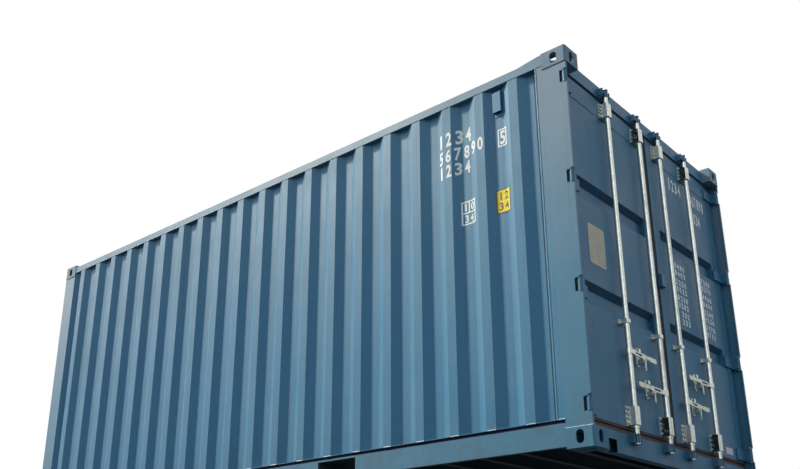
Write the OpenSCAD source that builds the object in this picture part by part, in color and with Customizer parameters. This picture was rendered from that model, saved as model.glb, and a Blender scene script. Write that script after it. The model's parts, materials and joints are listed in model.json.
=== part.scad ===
// Twenty foot dry freight container with a closed front end and a pair of
// hinged doors at the rear end.
// X runs along the length with the doors at +X, Y runs across and Z is up.
// The origin is under the middle of the box, level with the bottom faces of
// the bottom corner fittings. Left is -Y and right is +Y.

/* [Overall size] */
// Length over the corner fittings
length = 6058; // [5900:1:6200]
// Width over the corner fittings
width = 2438; // [2400:1:2500]
// Height over the corner fittings
height = 2591; // [2560:1:2900]
// How far walls, rails and posts stand in from the faces of the fittings
set_in = 5; // [3:1:7]

/* [Corner fittings] */
// Size of a fitting along the length
fitting_l = 178; // [174:1:184]
// Size of a fitting across the width
fitting_w = 162; // [158:1:166]
// Height of a fitting
fitting_h = 118; // [114:1:122]
// Thickness of the top or bottom plate of a fitting
fitting_plate = 28; // [20:1:30]
// Thickness of the upright walls of a fitting
fitting_wall = 12; // [8:1:13]
// Length of the twistlock slot
lock_slot_l = 124; // [110:1:126]
// Width of the twistlock slot
lock_slot_w = 63.5; // [55:0.5:66]
// Distance of the twistlock slot from the end face
lock_from_end = 102.5; // [100:0.5:103]
// Distance of the twistlock slot from the side face
lock_from_side = 89.5; // [86:0.5:92]
// Height of the lashing holes in the side and end faces
lash_hole_h = 79.5; // [70:0.5:82]
// Width of the lashing holes
lash_hole_w = 51; // [45:1:56]
// Height of the lashing hole centre from the face with the twistlock slot
lash_hole_z = 63; // [61:1:65]
// Radius of the upright outer edge of a fitting
edge_r = 12; // [8:1:12]

/* [Base] */
// Height of the underside of the bottom side rail
rail_bottom = 17; // [14:1:20]
// Height of the top of the bottom side rail
rail_top = 175; // [170:1:185]
// Width of the top flange of the bottom side rail
rail_flange = 48; // [44:1:52]
// Width of the bottom flange of the bottom side rail
rail_foot = 30; // [25:1:40]
// How far the top flange of the bottom side rail stands out from its web
rail_lip = 8; // [5:1:12]
// Thickness of the bottom side rail
rail_t = 4.5; // [3:0.5:6]
// Thickness of the floor boards
floor_t = 28; // [25:1:30]
// Height of the cross members
cross_h = 122; // [115:1:124]
// Width of the flanges of the cross members
cross_flange = 45; // [35:1:55]
// Thickness of the cross members
cross_t = 4; // [3:0.5:6]
// Smallest gap between two cross members
cross_gap = 20; // [5:1:40]
// Number of cross members between the fork pockets
cross_mid_n = 6; // [3:1:7]
// Number of cross members between a fork pocket and an end
cross_end_n = 6; // [3:1:6]
// Distance between the centres of the two fork pockets
pocket_spacing = 2050; // [1900:1:2150]
// Width of a fork pocket
pocket_w = 360; // [330:1:380]
// Height of a fork pocket
pocket_h = 115; // [100:1:116]
// Height of the bottom of a fork pocket
pocket_z = 25; // [24:1:26]
// Thickness of the plate over a fork pocket
pocket_top_t = 3; // [2:0.5:4]
// Width of the straps under the ends of a fork pocket
strap_w = 200; // [150:10:250]
// Thickness of the straps under the ends of a fork pocket
strap_t = 6; // [5:0.5:8]

/* [Walls] */
// Thickness of the wall sheets
sheet_t = 2; // [1.6:0.1:3]
// Depth of the corrugations of the side walls
side_depth = 36; // [30:1:38]
// Width of an outer face of the side wall corrugations
side_crest = 72; // [60:1:80]
// Width of a slope of the side wall corrugations
side_slope = 69; // [50:1:74]
// Aimed pitch of the side wall corrugations
side_aim = 280; // [270:1:290]
// Width of the short recess next to the front post
side_first = 114; // [110:1:120]
// Width of the last recess, next to the rear post
side_last = 147; // [140:1:150]
// Width of the flat strip that meets the rear post
side_flat = 49; // [45:1:55]
// Depth of the corrugations of the front wall
front_depth = 45.6; // [36:0.1:50]
// Width of an outer face of the front wall corrugations
front_crest = 110; // [100:1:112]
// Width of a slope of the front wall corrugations
front_slope = 18; // [12:1:30]
// Pitch of the front wall corrugations
front_pitch = 250; // [240:1:250]

/* [Roof and top rails] */
// Width and height of the square top rails
top_rail = 60; // [55:1:65]
// Thickness of the top rails
top_rail_t = 3; // [2.5:0.5:4]
// How far the top rails stay below the top of the fittings
roof_drop = 26; // [24:1:30]
// Height of the roof corrugations
roof_depth = 18; // [12:1:18]
// Pitch of the roof corrugations
roof_pitch = 209; // [200:1:209]
// Width of the raised face of a roof corrugation
roof_crest = 91; // [80:1:100]
// Width of a slope of the roof corrugations
roof_slope = 13.5; // [10:0.5:16]

/* [Posts] */
// Thickness of the posts
post_t = 6; // [5:0.5:7]
// Width of the lip along the end edge of a rear post
post_lip = 18; // [16:1:19]
// Length of the channel inside a rear post
channel_l = 87; // [80:1:88]
// Depth of the channel inside a rear post
channel_w = 40; // [38:1:42]
// Wall of the channel inside a rear post
channel_t = 10; // [6:1:12]

/* [Doors] */
// How far the face of the doors stands in from the end of the posts
door_recess = 70; // [68:1:74]
// Thickness of the door leaves
leaf_t = 50; // [46:1:50]
// Height of the top of the sill
sill_top = 145; // [140:1:150]
// Height of the underside of the header, measured down from the top
header_drop = 118; // [118:1:130]
// Gap between a leaf and the post beside it
leaf_gap = 16; // [15:1:18]
// Gap between a leaf and the header over it
leaf_gap_top = 21; // [19:1:23]
// Gap between a leaf and the sill under it
leaf_gap_low = 48; // [44:1:52]
// Gap between the two leaves
middle_gap = 45; // [41:1:49]
// Gap between the gaskets of the two leaves
gasket_gap = 12; // [11:1:14]
// Clearance between a door gasket and the frame around it
gasket_clear = 5; // [4:0.5:6]
// Width of the upright members of a leaf
stile_w = 90; // [80:1:100]
// Height of the upper level member of a leaf
leaf_top_h = 136; // [125:1:145]
// Height of the lower level member of a leaf
leaf_foot_h = 143; // [135:1:155]
// Wall of the members of a leaf
leaf_wall = 3.2; // [2.5:0.1:5]
// How far the panel sheet stands in from the frame of a leaf
panel_in = 3; // [2:1:4]
// Height of the lower edge of the lower recess in a leaf
recess_z1 = 895; // [885:1:905]
// Height of the lower edge of the upper recess in a leaf
recess_z2 = 1603; // [1500:1:1700]
// Height of a recess in a leaf
recess_h = 146; // [120:1:150]
// Height of a slope of a recess in a leaf
recess_slope = 40; // [25:1:44]
// Depth of a recess in a leaf
recess_d = 36; // [30:1:38]
// Width of the block at the middle edge of the right leaf
edge_block_w = 63.5; // [50:0.5:75]
// Height of the block at the middle edge of the right leaf
edge_block_h = 90; // [70:1:110]
// Thickness of the block at the middle edge of the right leaf
edge_block_t = 30; // [20:1:34]

/* [Hinges] */
// Distance of a hinge pin from the faces of its post
pin_in = 18; // [18:0.5:19]
// Radius of a hinge pin
pin_r = 7; // [6:0.5:8]
// Clearance round a pin
pin_clear = 0.05; // [0.02:0.01:0.1]
// Radius of a hinge knuckle
knuckle_r = 16; // [15:0.5:16]
// Height of a hinge blade
blade_h = 80; // [60:1:84]
// Height of a hinge lug
lug_h = 10; // [8:1:12]
// Gap between a hinge blade and a lug
lug_gap = 2; // [1:0.5:3]
// Depth of the notches in the posts
notch_d = 48; // [46:1:50]
// Height of the lowest hinge above the lower edge of a leaf
hinge_low = 50; // [44:1:60]
// Depth of the highest hinge below the upper edge of a leaf
hinge_high = 83; // [60:1:90]
// Number of hinges on a leaf
hinge_n = 4; // [3:1:5]

/* [Locking bars] */
// Radius of a locking bar
bar_r = 17; // [15:0.5:17.5]
// Wall of a locking bar
bar_wall = 3; // [2:0.5:4]
// Distance of the bar axes from the face of the doors
bar_out = 38; // [37:1:39]
// Distance of the inner bars from the middle
bar_y1 = 164; // [155:1:172]
// Distance of the outer bars from the middle
bar_y2 = 626; // [610:1:640]
// Height of the lower ends of the bars
bar_bottom = 88; // [86:1:92]
// How far the upper ends of the bars stay below the top
bar_top_drop = 50; // [48:1:56]
// Clearance of the bars in their guides
bar_clear = 0.3; // [0.2:0.05:0.5]
// Handle height on the outer bars
handle_z2 = 672; // [650:1:700]
// Handle height on the inner bars
handle_z1 = 480; // [460:1:500]
// Reach of a handle from its bar
handle_l = 375; // [340:1:400]
// Height of a handle
handle_h = 25; // [20:1:26]
// Thickness of a handle
handle_t = 12; // [10:1:12]
// Height of the slotted part of a handle
handle_mid_h = 32; // [28:1:32]
// Distance of a handle keeper from its bar
catch_y = 185; // [170:1:200]

/* [Ventilators] */
// Width of a ventilator
vent_w = 64; // [50:1:66]
// Height of the box of a ventilator
vent_h = 150; // [130:1:170]
// Height of the plate under the box of a ventilator
vent_foot = 30; // [25:1:40]
// Depth of a ventilator
vent_d = 26; // [20:1:28]

/* [Hidden] */
$fn = 48;
paint = "#7f9fb0";
shade = "#6d8fa3";
zinc = "#b9bfc0";
rubber = "#3a2a26";
wood = "#8a6a4a";
eps = 0.01;

// Faces of the fittings, and the outer planes of walls and posts
in_l = length / 2 - fitting_l;
in_w = width / 2 - fitting_w;
skin_y = width / 2 - set_in;
end_x = length / 2 - set_in;
fit_top = height - fitting_h;

// Heights of the rails, the roof and the floor
roof_z = height - roof_drop;
top_rail_z = roof_z - top_rail;
floor_z = rail_top - floor_t;
cross_z = floor_z - cross_h;
rail_in = skin_y - rail_flange;
rail_web = skin_y - rail_lip;
cross_half = rail_web - rail_t;

// Planes of the door end
leaf_x = end_x - door_recess;
leaf_back = leaf_x - leaf_t;
frame_x = leaf_x + 6;
channel_x1 = leaf_back - 7;
channel_x0 = channel_x1 - channel_l;
channel_y = skin_y - post_t - channel_w;
open_top = height - header_drop;
leaf_z0 = sill_top + leaf_gap_low;
leaf_z1 = open_top - leaf_gap_top;
leaf_y0 = middle_gap / 2;
leaf_y1 = skin_y - post_t - leaf_gap - 2;
gasket_y0 = gasket_gap / 2;
gasket_y1 = leaf_y1 + leaf_gap - gasket_clear;
gasket_z0 = sill_top + gasket_clear;
gasket_z1 = open_top - gasket_clear;
panel_x = leaf_x - panel_in;

// Hinges
pin_x = end_x - pin_in;
pin_y = skin_y - pin_in;
notch_h = blade_h + 2 * lug_gap + 2 * lug_h;
hinge_step = (leaf_z1 - hinge_high - leaf_z0 - hinge_low) / (hinge_n - 1);
hinge_at = [for (i = [0:hinge_n - 1]) leaf_z0 + hinge_low + i * hinge_step];

// Locking bars
bar_x = leaf_x + bar_out;
bar_top = height - bar_top_drop;
hub_y = 38;
hub_r = 22;
ledge_drop = handle_mid_h / 2 + 4;
catch_drop = ledge_drop + 12.5;
keeper_half = 27;

// Outline of a sheet bent along a list of points, with its thickness in Y
function sheet(pts, t) = concat(pts, [for (i = [len(pts) - 1:-1:0])
    [pts[i][0], pts[i][1] + t]]);

// Bends of a side wall, from the front post to the rear post
side_run = 2 * in_l - side_first - side_crest - side_last - side_flat;
side_n = round(side_run / side_aim);
side_pitch = side_run / side_n;
side_x0 = -in_l + side_first;
side_pts = concat(
    [[-in_l, 0], [side_x0 - side_slope, -side_depth]],
    [for (k = [0:side_n]) let (x = side_x0 + k * side_pitch) each (k < side_n ? [
        [x, 0], [x + side_crest, 0], [x + side_crest + side_slope, -side_depth],
        [x + side_pitch - side_slope, -side_depth]] : [
        [x, 0], [x + side_crest, 0], [x + side_crest + side_slope, -side_depth]])],
    [[in_l - side_flat - 15, -side_depth], [in_l - side_flat, 0], [in_l, 0]]);

// Bends of the front wall, from left to right
front_n = floor((2 * in_w - front_crest) / front_pitch);
front_y0 = -(front_n * front_pitch + front_crest) / 2;
front_pts = concat([[-in_w, 0]],
    [for (k = [0:front_n - 1]) let (y = front_y0 + front_crest + k * front_pitch) each [
        [y, 0], [y + front_slope, front_depth],
        [y + front_pitch - front_crest - front_slope, front_depth],
        [y + front_pitch - front_crest, 0]]],
    [[in_w, 0]]);

// Bends of the roof sheet, from front to rear
roof_l = in_l - 20;
roof_n = floor((2 * roof_l - roof_crest) / roof_pitch);
roof_x0 = -(roof_n * roof_pitch - (roof_pitch - roof_crest - 2 * roof_slope)) / 2;
roof_pts = concat([[-roof_l, 0]],
    [for (k = [0:roof_n - 1]) let (x = roof_x0 + k * roof_pitch) each [
        [x, 0], [x + roof_slope, roof_depth],
        [x + roof_slope + roof_crest, roof_depth],
        [x + 2 * roof_slope + roof_crest, 0]]],
    [[roof_l, 0]]);

// Positions of the cross members along the length
mid_half = pocket_spacing / 2 - pocket_w / 2 - 2 * cross_flange - cross_gap;
end_a = pocket_spacing / 2 + pocket_w / 2 + 2 * cross_flange + cross_gap;
end_b = in_l - 2 * cross_flange;
cross_at = concat(
    [for (i = [0:cross_mid_n - 1]) -mid_half + i * 2 * mid_half / (cross_mid_n - 1)],
    [for (s = [-1, 1], i = [0:cross_end_n - 1])
        s * (end_a + i * (end_b - end_a) / (cross_end_n - 1))]);

// A box given by its two opposite corners
module block(a, b) {
    translate(a)
        cube(b - a);
}

// A slot with round ends, long along X, through a plate square to Z
module slot(l, w, h) {
    cube([l - w, w, h], center = true);
    for (s = [-1, 1])
        translate([s * (l - w) / 2, 0, 0])
            cylinder(d = w, h = h, center = true);
}

// Hollow casting with one twistlock slot and two lashing holes
module fitting(sx, sy, top) {
    sz = top ? 1 : -1;
    cz = top ? height : 0;
    color(shade)
    translate([sx * length / 2, sy * width / 2, cz])
        difference() {
            translate([-sx * fitting_l / 2, -sy * fitting_w / 2, -sz * fitting_h / 2])
                cube([fitting_l, fitting_w, fitting_h], center = true);
            translate([-sx * fitting_l / 2, -sy * fitting_w / 2,
                -sz * (fitting_h + fitting_plate - fitting_wall) / 2])
                cube([fitting_l - 2 * fitting_wall, fitting_w - 2 * fitting_wall,
                    fitting_h - fitting_plate - fitting_wall], center = true);
            translate([-sx * lock_from_end, -sy * lock_from_side, 0])
                slot(lock_slot_l, lock_slot_w, 2 * fitting_plate);
            translate([-sx * fitting_l / 2, 0, -sz * lash_hole_z])
                rotate([90, 0, 0])
                    rotate([0, 0, 90])
                        slot(lash_hole_h, lash_hole_w, 3 * fitting_wall);
            translate([0, -sy * fitting_w / 2, -sz * lash_hole_z])
                rotate([0, 90, 0])
                    slot(lash_hole_h, lash_hole_w, 3 * fitting_wall);
            translate([0, 0, -sz * fitting_h / 2])
                difference() {
                    cube([2 * edge_r, 2 * edge_r, fitting_h + 2], center = true);
                    translate([-sx * edge_r, -sy * edge_r, 0])
                        cylinder(r = edge_r, h = fitting_h + 4, center = true);
                }
        }
}

// Pressed post of the closed end, on the right
module front_post() {
    color(paint)
    translate([0, 0, fitting_h])
        linear_extrude(fit_top - fitting_h) {
            translate([-end_x, skin_y - post_t])
                square([end_x - in_l, post_t]);
            translate([-end_x, in_w])
                square([post_t, skin_y - in_w]);
            translate([-end_x, in_w])
                square([40, post_t]);
            translate([-in_l - post_t, rail_in])
                square([post_t, skin_y - rail_in]);
        }
}

// Open rear post with its inner channel and hinge notches, on the right
module rear_post() {
    color(paint)
    difference() {
        translate([0, 0, fitting_h])
            linear_extrude(fit_top - fitting_h) {
                translate([in_l, skin_y - post_t])
                    square([end_x - in_l, post_t]);
                translate([end_x - post_t, skin_y - post_lip])
                    square([post_t, post_lip]);
                difference() {
                    translate([channel_x0, channel_y])
                        square([channel_l, skin_y - sheet_t - channel_y]);
                    translate([channel_x0 + channel_t, channel_y + channel_t])
                        square([channel_l - 2 * channel_t, channel_w]);
                    translate([in_l, skin_y - post_t])
                        square([channel_l, post_t]);
                }
            }
        block([channel_x0 - 1, channel_y - 1, 0], [in_l, skin_y + 1, rail_top]);
        block([channel_x0 - 1, channel_y - 1, top_rail_z], [in_l, skin_y + 1, height]);
        for (z = hinge_at)
            translate([end_x - notch_d, skin_y - post_lip - 1, z - notch_h / 2])
                cube([notch_d + 1, post_lip + 2, notch_h]);
    }
}

// Pressed bottom side rail with two fork openings, on the right
module bottom_rail() {
    color(paint)
    difference() {
        rotate([90, 0, 90])
            linear_extrude(2 * in_l, center = true) {
                translate([cross_half, rail_bottom])
                    square([rail_t, rail_top - rail_bottom]);
                translate([rail_in, rail_top - rail_t])
                    square([rail_flange, rail_t]);
                translate([rail_web - rail_foot, rail_bottom])
                    square([rail_foot, rail_t]);
            }
        for (s = [-1, 1])
            translate([s * pocket_spacing / 2 - pocket_w / 2, rail_in - 1, pocket_z])
                cube([pocket_w, rail_flange + 2, pocket_h]);
    }
}

// Square top side rail with a tapered plate at the rear, on the right
module top_side_rail() {
    color(paint) {
        rotate([90, 0, 90])
            linear_extrude(2 * in_l, center = true)
                difference() {
                    translate([skin_y - top_rail, top_rail_z])
                        square(top_rail);
                    translate([skin_y - top_rail + top_rail_t, top_rail_z + top_rail_t])
                        square(top_rail - 2 * top_rail_t);
                }
        translate([0, skin_y, 0])
            rotate([90, 0, 0])
                linear_extrude(post_t)
                    polygon([[in_l, roof_z], [in_l, height - 4], [in_l - 30, height - 4],
                        [in_l - 190, roof_z]]);
    }
}

// Sill of the closed end
module front_sill() {
    color(paint)
    rotate([90, 0, 0])
        linear_extrude(2 * in_w, center = true) {
            translate([-end_x, rail_bottom])
                square([rail_t, rail_top - rail_bottom]);
            translate([-end_x, rail_top - rail_t])
                square([front_depth + 2 * sheet_t, rail_t]);
            translate([-end_x, rail_bottom])
                square([rail_foot, rail_t]);
        }
}

// Header of the closed end, a square tube with a cover plate to the roof
module front_header() {
    color(paint)
    rotate([90, 0, 0])
        linear_extrude(2 * in_w, center = true) {
            difference() {
                translate([-end_x, top_rail_z])
                    square(top_rail);
                translate([-end_x + top_rail_t, top_rail_z + top_rail_t])
                    square(top_rail - 2 * top_rail_t);
            }
            translate([-end_x, roof_z])
                square([end_x - roof_l, top_rail_t]);
        }
}

// Corrugated front wall
module front_wall() {
    color(paint)
    translate([-end_x, 0, rail_top])
        linear_extrude(top_rail_z - rail_top)
            polygon([for (p = sheet(front_pts, sheet_t)) [p[1], p[0]]]);
}

// Box section across the rear end, from height a to height b
module rear_beam(a, b, t) {
    difference() {
        block([channel_x1, -in_w, a], [frame_x, in_w, b]);
        block([channel_x1 + t, -in_w - 1, a + t], [frame_x - t, in_w + 1, b - t]);
    }
}

// Sill under the doors, cut away below next to the fittings
module door_sill() {
    color(paint)
    difference() {
        union() {
            rear_beam(rail_bottom, sill_top, rail_t);
            for (s = [-1, 1])
                translate([(channel_x1 + frame_x) / 2, s * (in_w + channel_y) / 2,
                    (fitting_h + sill_top) / 2])
                    cube([frame_x - channel_x1, channel_y - in_w,
                        sill_top - fitting_h], center = true);
            block([channel_x1 - rail_t, -channel_y, fitting_h],
                [channel_x1, channel_y, rail_top]);
        }
        for (s = [-1, 1])
            translate([frame_x, s * (in_w - 177), rail_bottom])
                cube([100, 110, 150], center = true);
    }
}

// Header over the doors with a cover plate to the roof
module door_header() {
    color(paint) {
        rear_beam(open_top, roof_z, rail_t);
        if (open_top < fit_top)
            for (s = [-1, 1])
                translate([(channel_x1 + frame_x) / 2, s * (in_w + channel_y) / 2,
                    (open_top + fit_top) / 2])
                    cube([frame_x - channel_x1, channel_y - in_w,
                        fit_top - open_top], center = true);
        block([channel_x1 - rail_t, -channel_y, open_top - 40],
            [channel_x1, channel_y, open_top]);
        block([channel_x1 - rail_t, -in_w, open_top - 1],
            [channel_x1, in_w, open_top + 20]);
        block([roof_l, -in_w, roof_z], [frame_x, in_w, roof_z + top_rail_t]);
    }
}

// Corrugated side wall, on the right
module side_wall() {
    color(paint)
    translate([0, skin_y, rail_top])
        linear_extrude(top_rail_z - rail_top)
            polygon(sheet(side_pts, -sheet_t));
}

// Roof sheet with raised corrugations closed at both ends
module roof() {
    half = skin_y - 8;
    inner = skin_y - top_rail - 14;
    color(paint)
    translate([0, 0, roof_z]) {
        rotate([90, 0, 0])
            linear_extrude(2 * inner, center = true)
                polygon(sheet(roof_pts, sheet_t));
        for (s = [-1, 1]) {
            translate([-roof_l, s * (half + inner) / 2 - (half - inner) / 2, 0])
                cube([2 * roof_l, half - inner, sheet_t]);
            translate([0, s * (inner + sheet_t / 2) + sheet_t / 2, 0])
                rotate([90, 0, 0])
                    linear_extrude(sheet_t)
                        polygon(concat([[-roof_l, -0]], [for (p = roof_pts)
                            [p[0], p[1] + sheet_t]], [[roof_l, -0]]));
        }
    }
}

// Plywood floor
module floor_boards() {
    color(wood)
    block([-end_x + front_depth + 2 * sheet_t, -rail_in, floor_z],
        [channel_x1 - rail_t, rail_in, rail_top]);
}

// Pressed cross member, open towards +X
module cross_member() {
    rotate([90, 0, 0])
        linear_extrude(2 * cross_half, center = true) {
            square([cross_t, cross_h]);
            square([cross_flange, cross_t]);
            translate([0, cross_h - cross_t])
                square([cross_flange, cross_t]);
        }
}

// All cross members, with those on both sides of the fork pockets turned away from them
module cross_members() {
    color(shade) {
        for (x = cross_at)
            translate([x, 0, cross_z])
                cross_member();
        for (s = [-1, 1], m = [0, 1])
            translate([s * pocket_spacing / 2, 0, cross_z])
                mirror([m, 0, 0])
                    translate([pocket_w / 2, 0, 0])
                        cross_member();
    }
}

// Plate over a fork pocket and the straps under both ends of it
module fork_pocket(s) {
    color(shade)
    translate([s * pocket_spacing / 2, 0, 0]) {
        block([-pocket_w / 2, -cross_half, pocket_z + pocket_h],
            [pocket_w / 2, cross_half, pocket_z + pocket_h + pocket_top_t]);
        for (t = [-1, 1])
            translate([0, t * (rail_web - rail_foot - strap_w / 2), cross_z - strap_t / 2])
                cube([pocket_w + 2 * cross_flange, strap_w, strap_t], center = true);
    }
}

// Pairs of lugs with a pin, in the notches of a rear post, on the right
module hinge_lugs() {
    color(shade)
    for (z = hinge_at)
        translate([0, 0, z]) {
            for (m = [0, 1])
                mirror([0, 0, m])
                    translate([0, 0, blade_h / 2 + lug_gap]) {
                        translate([pin_x, pin_y, 0])
                            cylinder(r = knuckle_r, h = lug_h);
                        block([end_x - notch_d, pin_y - knuckle_r / 2, 0],
                            [pin_x, skin_y, lug_h]);
                    }
            translate([pin_x, pin_y, 0])
                cylinder(r = pin_r, h = notch_h, center = true);
        }
}

// Keeper plate with two side lugs, open at the front for the cam
module keeper() {
    block([0, -56, -keeper_half], [5, 56, keeper_half]);
    for (s = [-1, 1])
        translate([(bar_x + 8 - frame_x) / 2, s * 47, 0])
            cube([bar_x + 8 - frame_x, 10, 2 * keeper_half - 6], center = true);
}

module bar_keepers() {
    color(zinc)
    for (y = [-bar_y2, -bar_y1, bar_y1, bar_y2])
        for (z = [bar_bottom + 29, bar_top - 29])
            translate([frame_x, y, z])
                keeper();
}

// Ventilator in a recess near the top of the wall, on the right
module vent() {
    x = side_x0 + (side_n - 1) * side_pitch + side_crest + side_slope
        + (side_pitch - side_crest - 2 * side_slope) / 2;
    color(paint)
    translate([x, skin_y - side_depth, top_rail_z - 40 - vent_h]) {
        difference() {
            translate([-vent_w / 2, 0, 0])
                cube([vent_w, vent_d, vent_h]);
            translate([-vent_w / 2 + 3, 3, -1])
                cube([vent_w - 6, vent_d - 6, vent_h - 2]);
        }
        for (k = [1:4])
            translate([-vent_w / 2 + 2, 2, k * vent_h / 5])
                cube([vent_w - 4, vent_d - 10, 2]);
        translate([-vent_w / 2, 0, -vent_foot])
            cube([vent_w, 3, vent_foot]);
        for (k = [-1, 1])
            translate([k * vent_w / 4, 3, -vent_foot / 2])
                rotate([-90, 0, 0])
                    cylinder(r = 4, h = 3);
    }
}

// Welded frame of a leaf with its hinge blades, on the right
module door_frame() {
    w = leaf_wall;
    color(paint) {
        for (y = [leaf_y0, leaf_y1 - stile_w])
            difference() {
                block([leaf_back, y, leaf_z0], [leaf_x, y + stile_w, leaf_z1]);
                block([leaf_back + w, y + w, leaf_z0 - 1],
                    [leaf_x - w, y + stile_w - w, leaf_z1 + 1]);
            }
        for (r = [[leaf_z0, leaf_foot_h], [leaf_z1 - leaf_top_h, leaf_top_h]])
            difference() {
                block([leaf_back, leaf_y0 + stile_w, r[0]],
                    [leaf_x, leaf_y1 - stile_w, r[0] + r[1]]);
                block([leaf_back - 1, leaf_y0 + stile_w - 1, r[0] + w],
                    [leaf_x - w, leaf_y1 - stile_w + 1, r[0] + r[1] - w]);
            }
        for (z = hinge_at)
            translate([0, 0, z - blade_h / 2])
                hinge_blade();
    }
}

// Blade from the face of a leaf out to the knuckle on the pin
module hinge_blade() {
    difference() {
        union() {
            translate([pin_x, pin_y, 0])
                cylinder(r = knuckle_r, h = blade_h);
            block([leaf_x, pin_y - knuckle_r, 0], [pin_x, pin_y + 5, blade_h]);
            block([leaf_x, pin_y - 150, 0], [leaf_x + 12, pin_y + 5, blade_h]);
        }
        translate([pin_x, pin_y, -1])
            cylinder(r = pin_r + pin_clear, h = blade_h + 2);
    }
}

// Panel sheet of a leaf with two deep level recesses, on the right
module door_panel() {
    y0 = leaf_y0 + stile_w;
    y1 = leaf_y1 - stile_w;
    color(paint)
    difference() {
        union() {
            block([panel_x - sheet_t, y0, leaf_z0 + leaf_foot_h],
                [panel_x, y1, leaf_z1 - leaf_top_h]);
            for (z = [recess_z1, recess_z2])
                panel_recess(y0 + 12, y1 - 55, z, sheet_t);
        }
        for (z = [recess_z1, recess_z2])
            panel_recess(y0 + 12, y1 - 55, z, 0);
    }
}

// Wedge shaped trough behind the panel face, grown by g on every side
module panel_recess(y0, y1, z, g) {
    translate([panel_x, y1 + g, z])
        rotate([90, 0, 0])
            linear_extrude(y1 - y0 + 2 * g)
                polygon([[g > 0 ? -sheet_t : 1, -g], [g > 0 ? -sheet_t : 1, recess_h + g],
                    [g > 0 ? -sheet_t : 0, recess_h + g],
                    [-recess_d - g, recess_h - recess_slope + g],
                    [-recess_d - g, recess_slope - g], [g > 0 ? -sheet_t : 0, -g]]);
}

// Ring round a leaf between shares a and b of the gasket width
module gasket_ring(x0, x1, a, b) {
    difference() {
        block([x0, leaf_y0 + b * (gasket_y0 - leaf_y0), leaf_z0 + b * (gasket_z0 - leaf_z0)],
            [x1, leaf_y1 + b * (gasket_y1 - leaf_y1), leaf_z1 + b * (gasket_z1 - leaf_z1)]);
        block([x0 - 1, leaf_y0 + a * (gasket_y0 - leaf_y0), leaf_z0 + a * (gasket_z0 - leaf_z0)],
            [x1 + 1, leaf_y1 + a * (gasket_y1 - leaf_y1), leaf_z1 + a * (gasket_z1 - leaf_z1)]);
    }
}

// Rubber strip round the edge of a leaf with two lips in front, on the right
module door_gasket() {
    color(rubber) {
        gasket_ring(leaf_back, leaf_x - 14, 0, 1);
        gasket_ring(leaf_x - 14, leaf_x - 4, 0, 0.3);
        gasket_ring(leaf_x - 14, leaf_x - 4, 0.7, 1);
    }
}

// Bearing for a bar from height a to height b: a flat plate with a hat over the bar
module bearing(a, b, back, plate_w, hat_w) {
    front = bar_x + min(hat_w / 2, 24);
    difference() {
        union() {
            block([back, -plate_w / 2, a], [back + 5, plate_w / 2, b]);
            translate([0, 0, a + 4])
                linear_extrude(b - a - 8)
                    polygon([[back + 1, -hat_w / 2], [front - 8, -hat_w / 2],
                        [front, 8 - hat_w / 2], [front, hat_w / 2 - 8],
                        [front - 8, hat_w / 2], [back + 1, hat_w / 2]]);
        }
        translate([bar_x, 0, a - 1])
            cylinder(r = bar_r + bar_clear, h = b - a + 2);
    }
}

// Keeper that holds a handle, with the pin of its catch
module handle_keeper(z) {
    block([panel_x, -22, z - 40], [panel_x + 5, 22, z + 38]);
    for (h = [[-40, 22, 5], [38, 22, 5], [42, 14, 24]])
        translate([panel_x, 0, z + h[0]])
            rotate([0, 90, 0])
                cylinder(r = h[1], h = h[2]);
    block([panel_x, -14, z - catch_drop - 12], [bar_x + 9, 14, z - ledge_drop]);
    translate([bar_x + 9, 0, z - catch_drop])
        rotate([0, 90, 0]) {
            translate([0, 0, -2])
                cylinder(r = 4, h = 13.5);
            translate([0, 0, 8.5])
                cylinder(r = 7, h = 3);
        }
}

// Guides and handle keepers of a leaf, s is -1 on the left and 1 on the right
module bar_guides(s) {
    color(zinc)
    for (i = [0, 1])
        translate([0, s * (i == 0 ? bar_y1 : bar_y2), 0]) {
            z = i == 0 ? handle_z1 : handle_z2;
            bearing(leaf_z1 - leaf_top_h + 2, leaf_z1 - 22, leaf_x, 100, 56);
            bearing(leaf_z0 + 6, leaf_z0 + leaf_foot_h - 13, leaf_x, 100, 56);
            bearing(recess_z1 - 49, recess_z1 - 15, panel_x, 80, 44);
            translate([0, s * (i == 0 ? 1 : -1) * catch_y, 0])
                handle_keeper(z);
        }
}

// Cam at the end of a bar: two collars with a lobe between them towards dir
module cam(dir) {
    for (s = [-1, 1])
        translate([0, 0, s * 24])
            cylinder(r = 20, h = 10, center = true);
    cylinder(r = bar_r, h = 50, center = true);
    translate([0, dir * 11, 0])
        cube([22, 22, 40], center = true);
    translate([0, dir * 22, 0])
        cylinder(r = 11, h = 40, center = true);
}

// Locking bar with its cams and the fork for its handle
module locking_bar(y, z, dir) {
    color(zinc)
    translate([bar_x, y, 0]) {
        difference() {
            translate([0, 0, bar_bottom])
                cylinder(r = bar_r, h = bar_top - bar_bottom);
            translate([0, 0, bar_bottom + 60])
                cylinder(r = bar_r - bar_wall, h = bar_top - bar_bottom - 120);
        }
        difference() {
            translate([0, 0, leaf_z0 - 8])
                cylinder(r = bar_r + 5, h = 9);
            translate([0, 0, leaf_z0 - 9])
                cylinder(r = bar_r - 1, h = 11);
        }
        translate([0, 0, bar_bottom + 29])
            cam(dir);
        translate([0, 0, bar_top - 29])
            cam(dir);
        translate([0, 0, z]) {
            difference() {
                cylinder(r = hub_r, h = 40, center = true);
                cylinder(r = bar_r - 1, h = 42, center = true);
            }
            difference() {
                for (s = [-1, 1])
                    translate([s * (handle_t / 2 + 4), dir * 34, 0])
                        cube([5, 36, 30], center = true);
                cylinder(r = bar_r - 1, h = 42, center = true);
            }
            translate([0, dir * hub_y, 0])
                rotate([0, 90, 0])
                    cylinder(r = 5, h = handle_t + 13, center = true);
        }
    }
}

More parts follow.
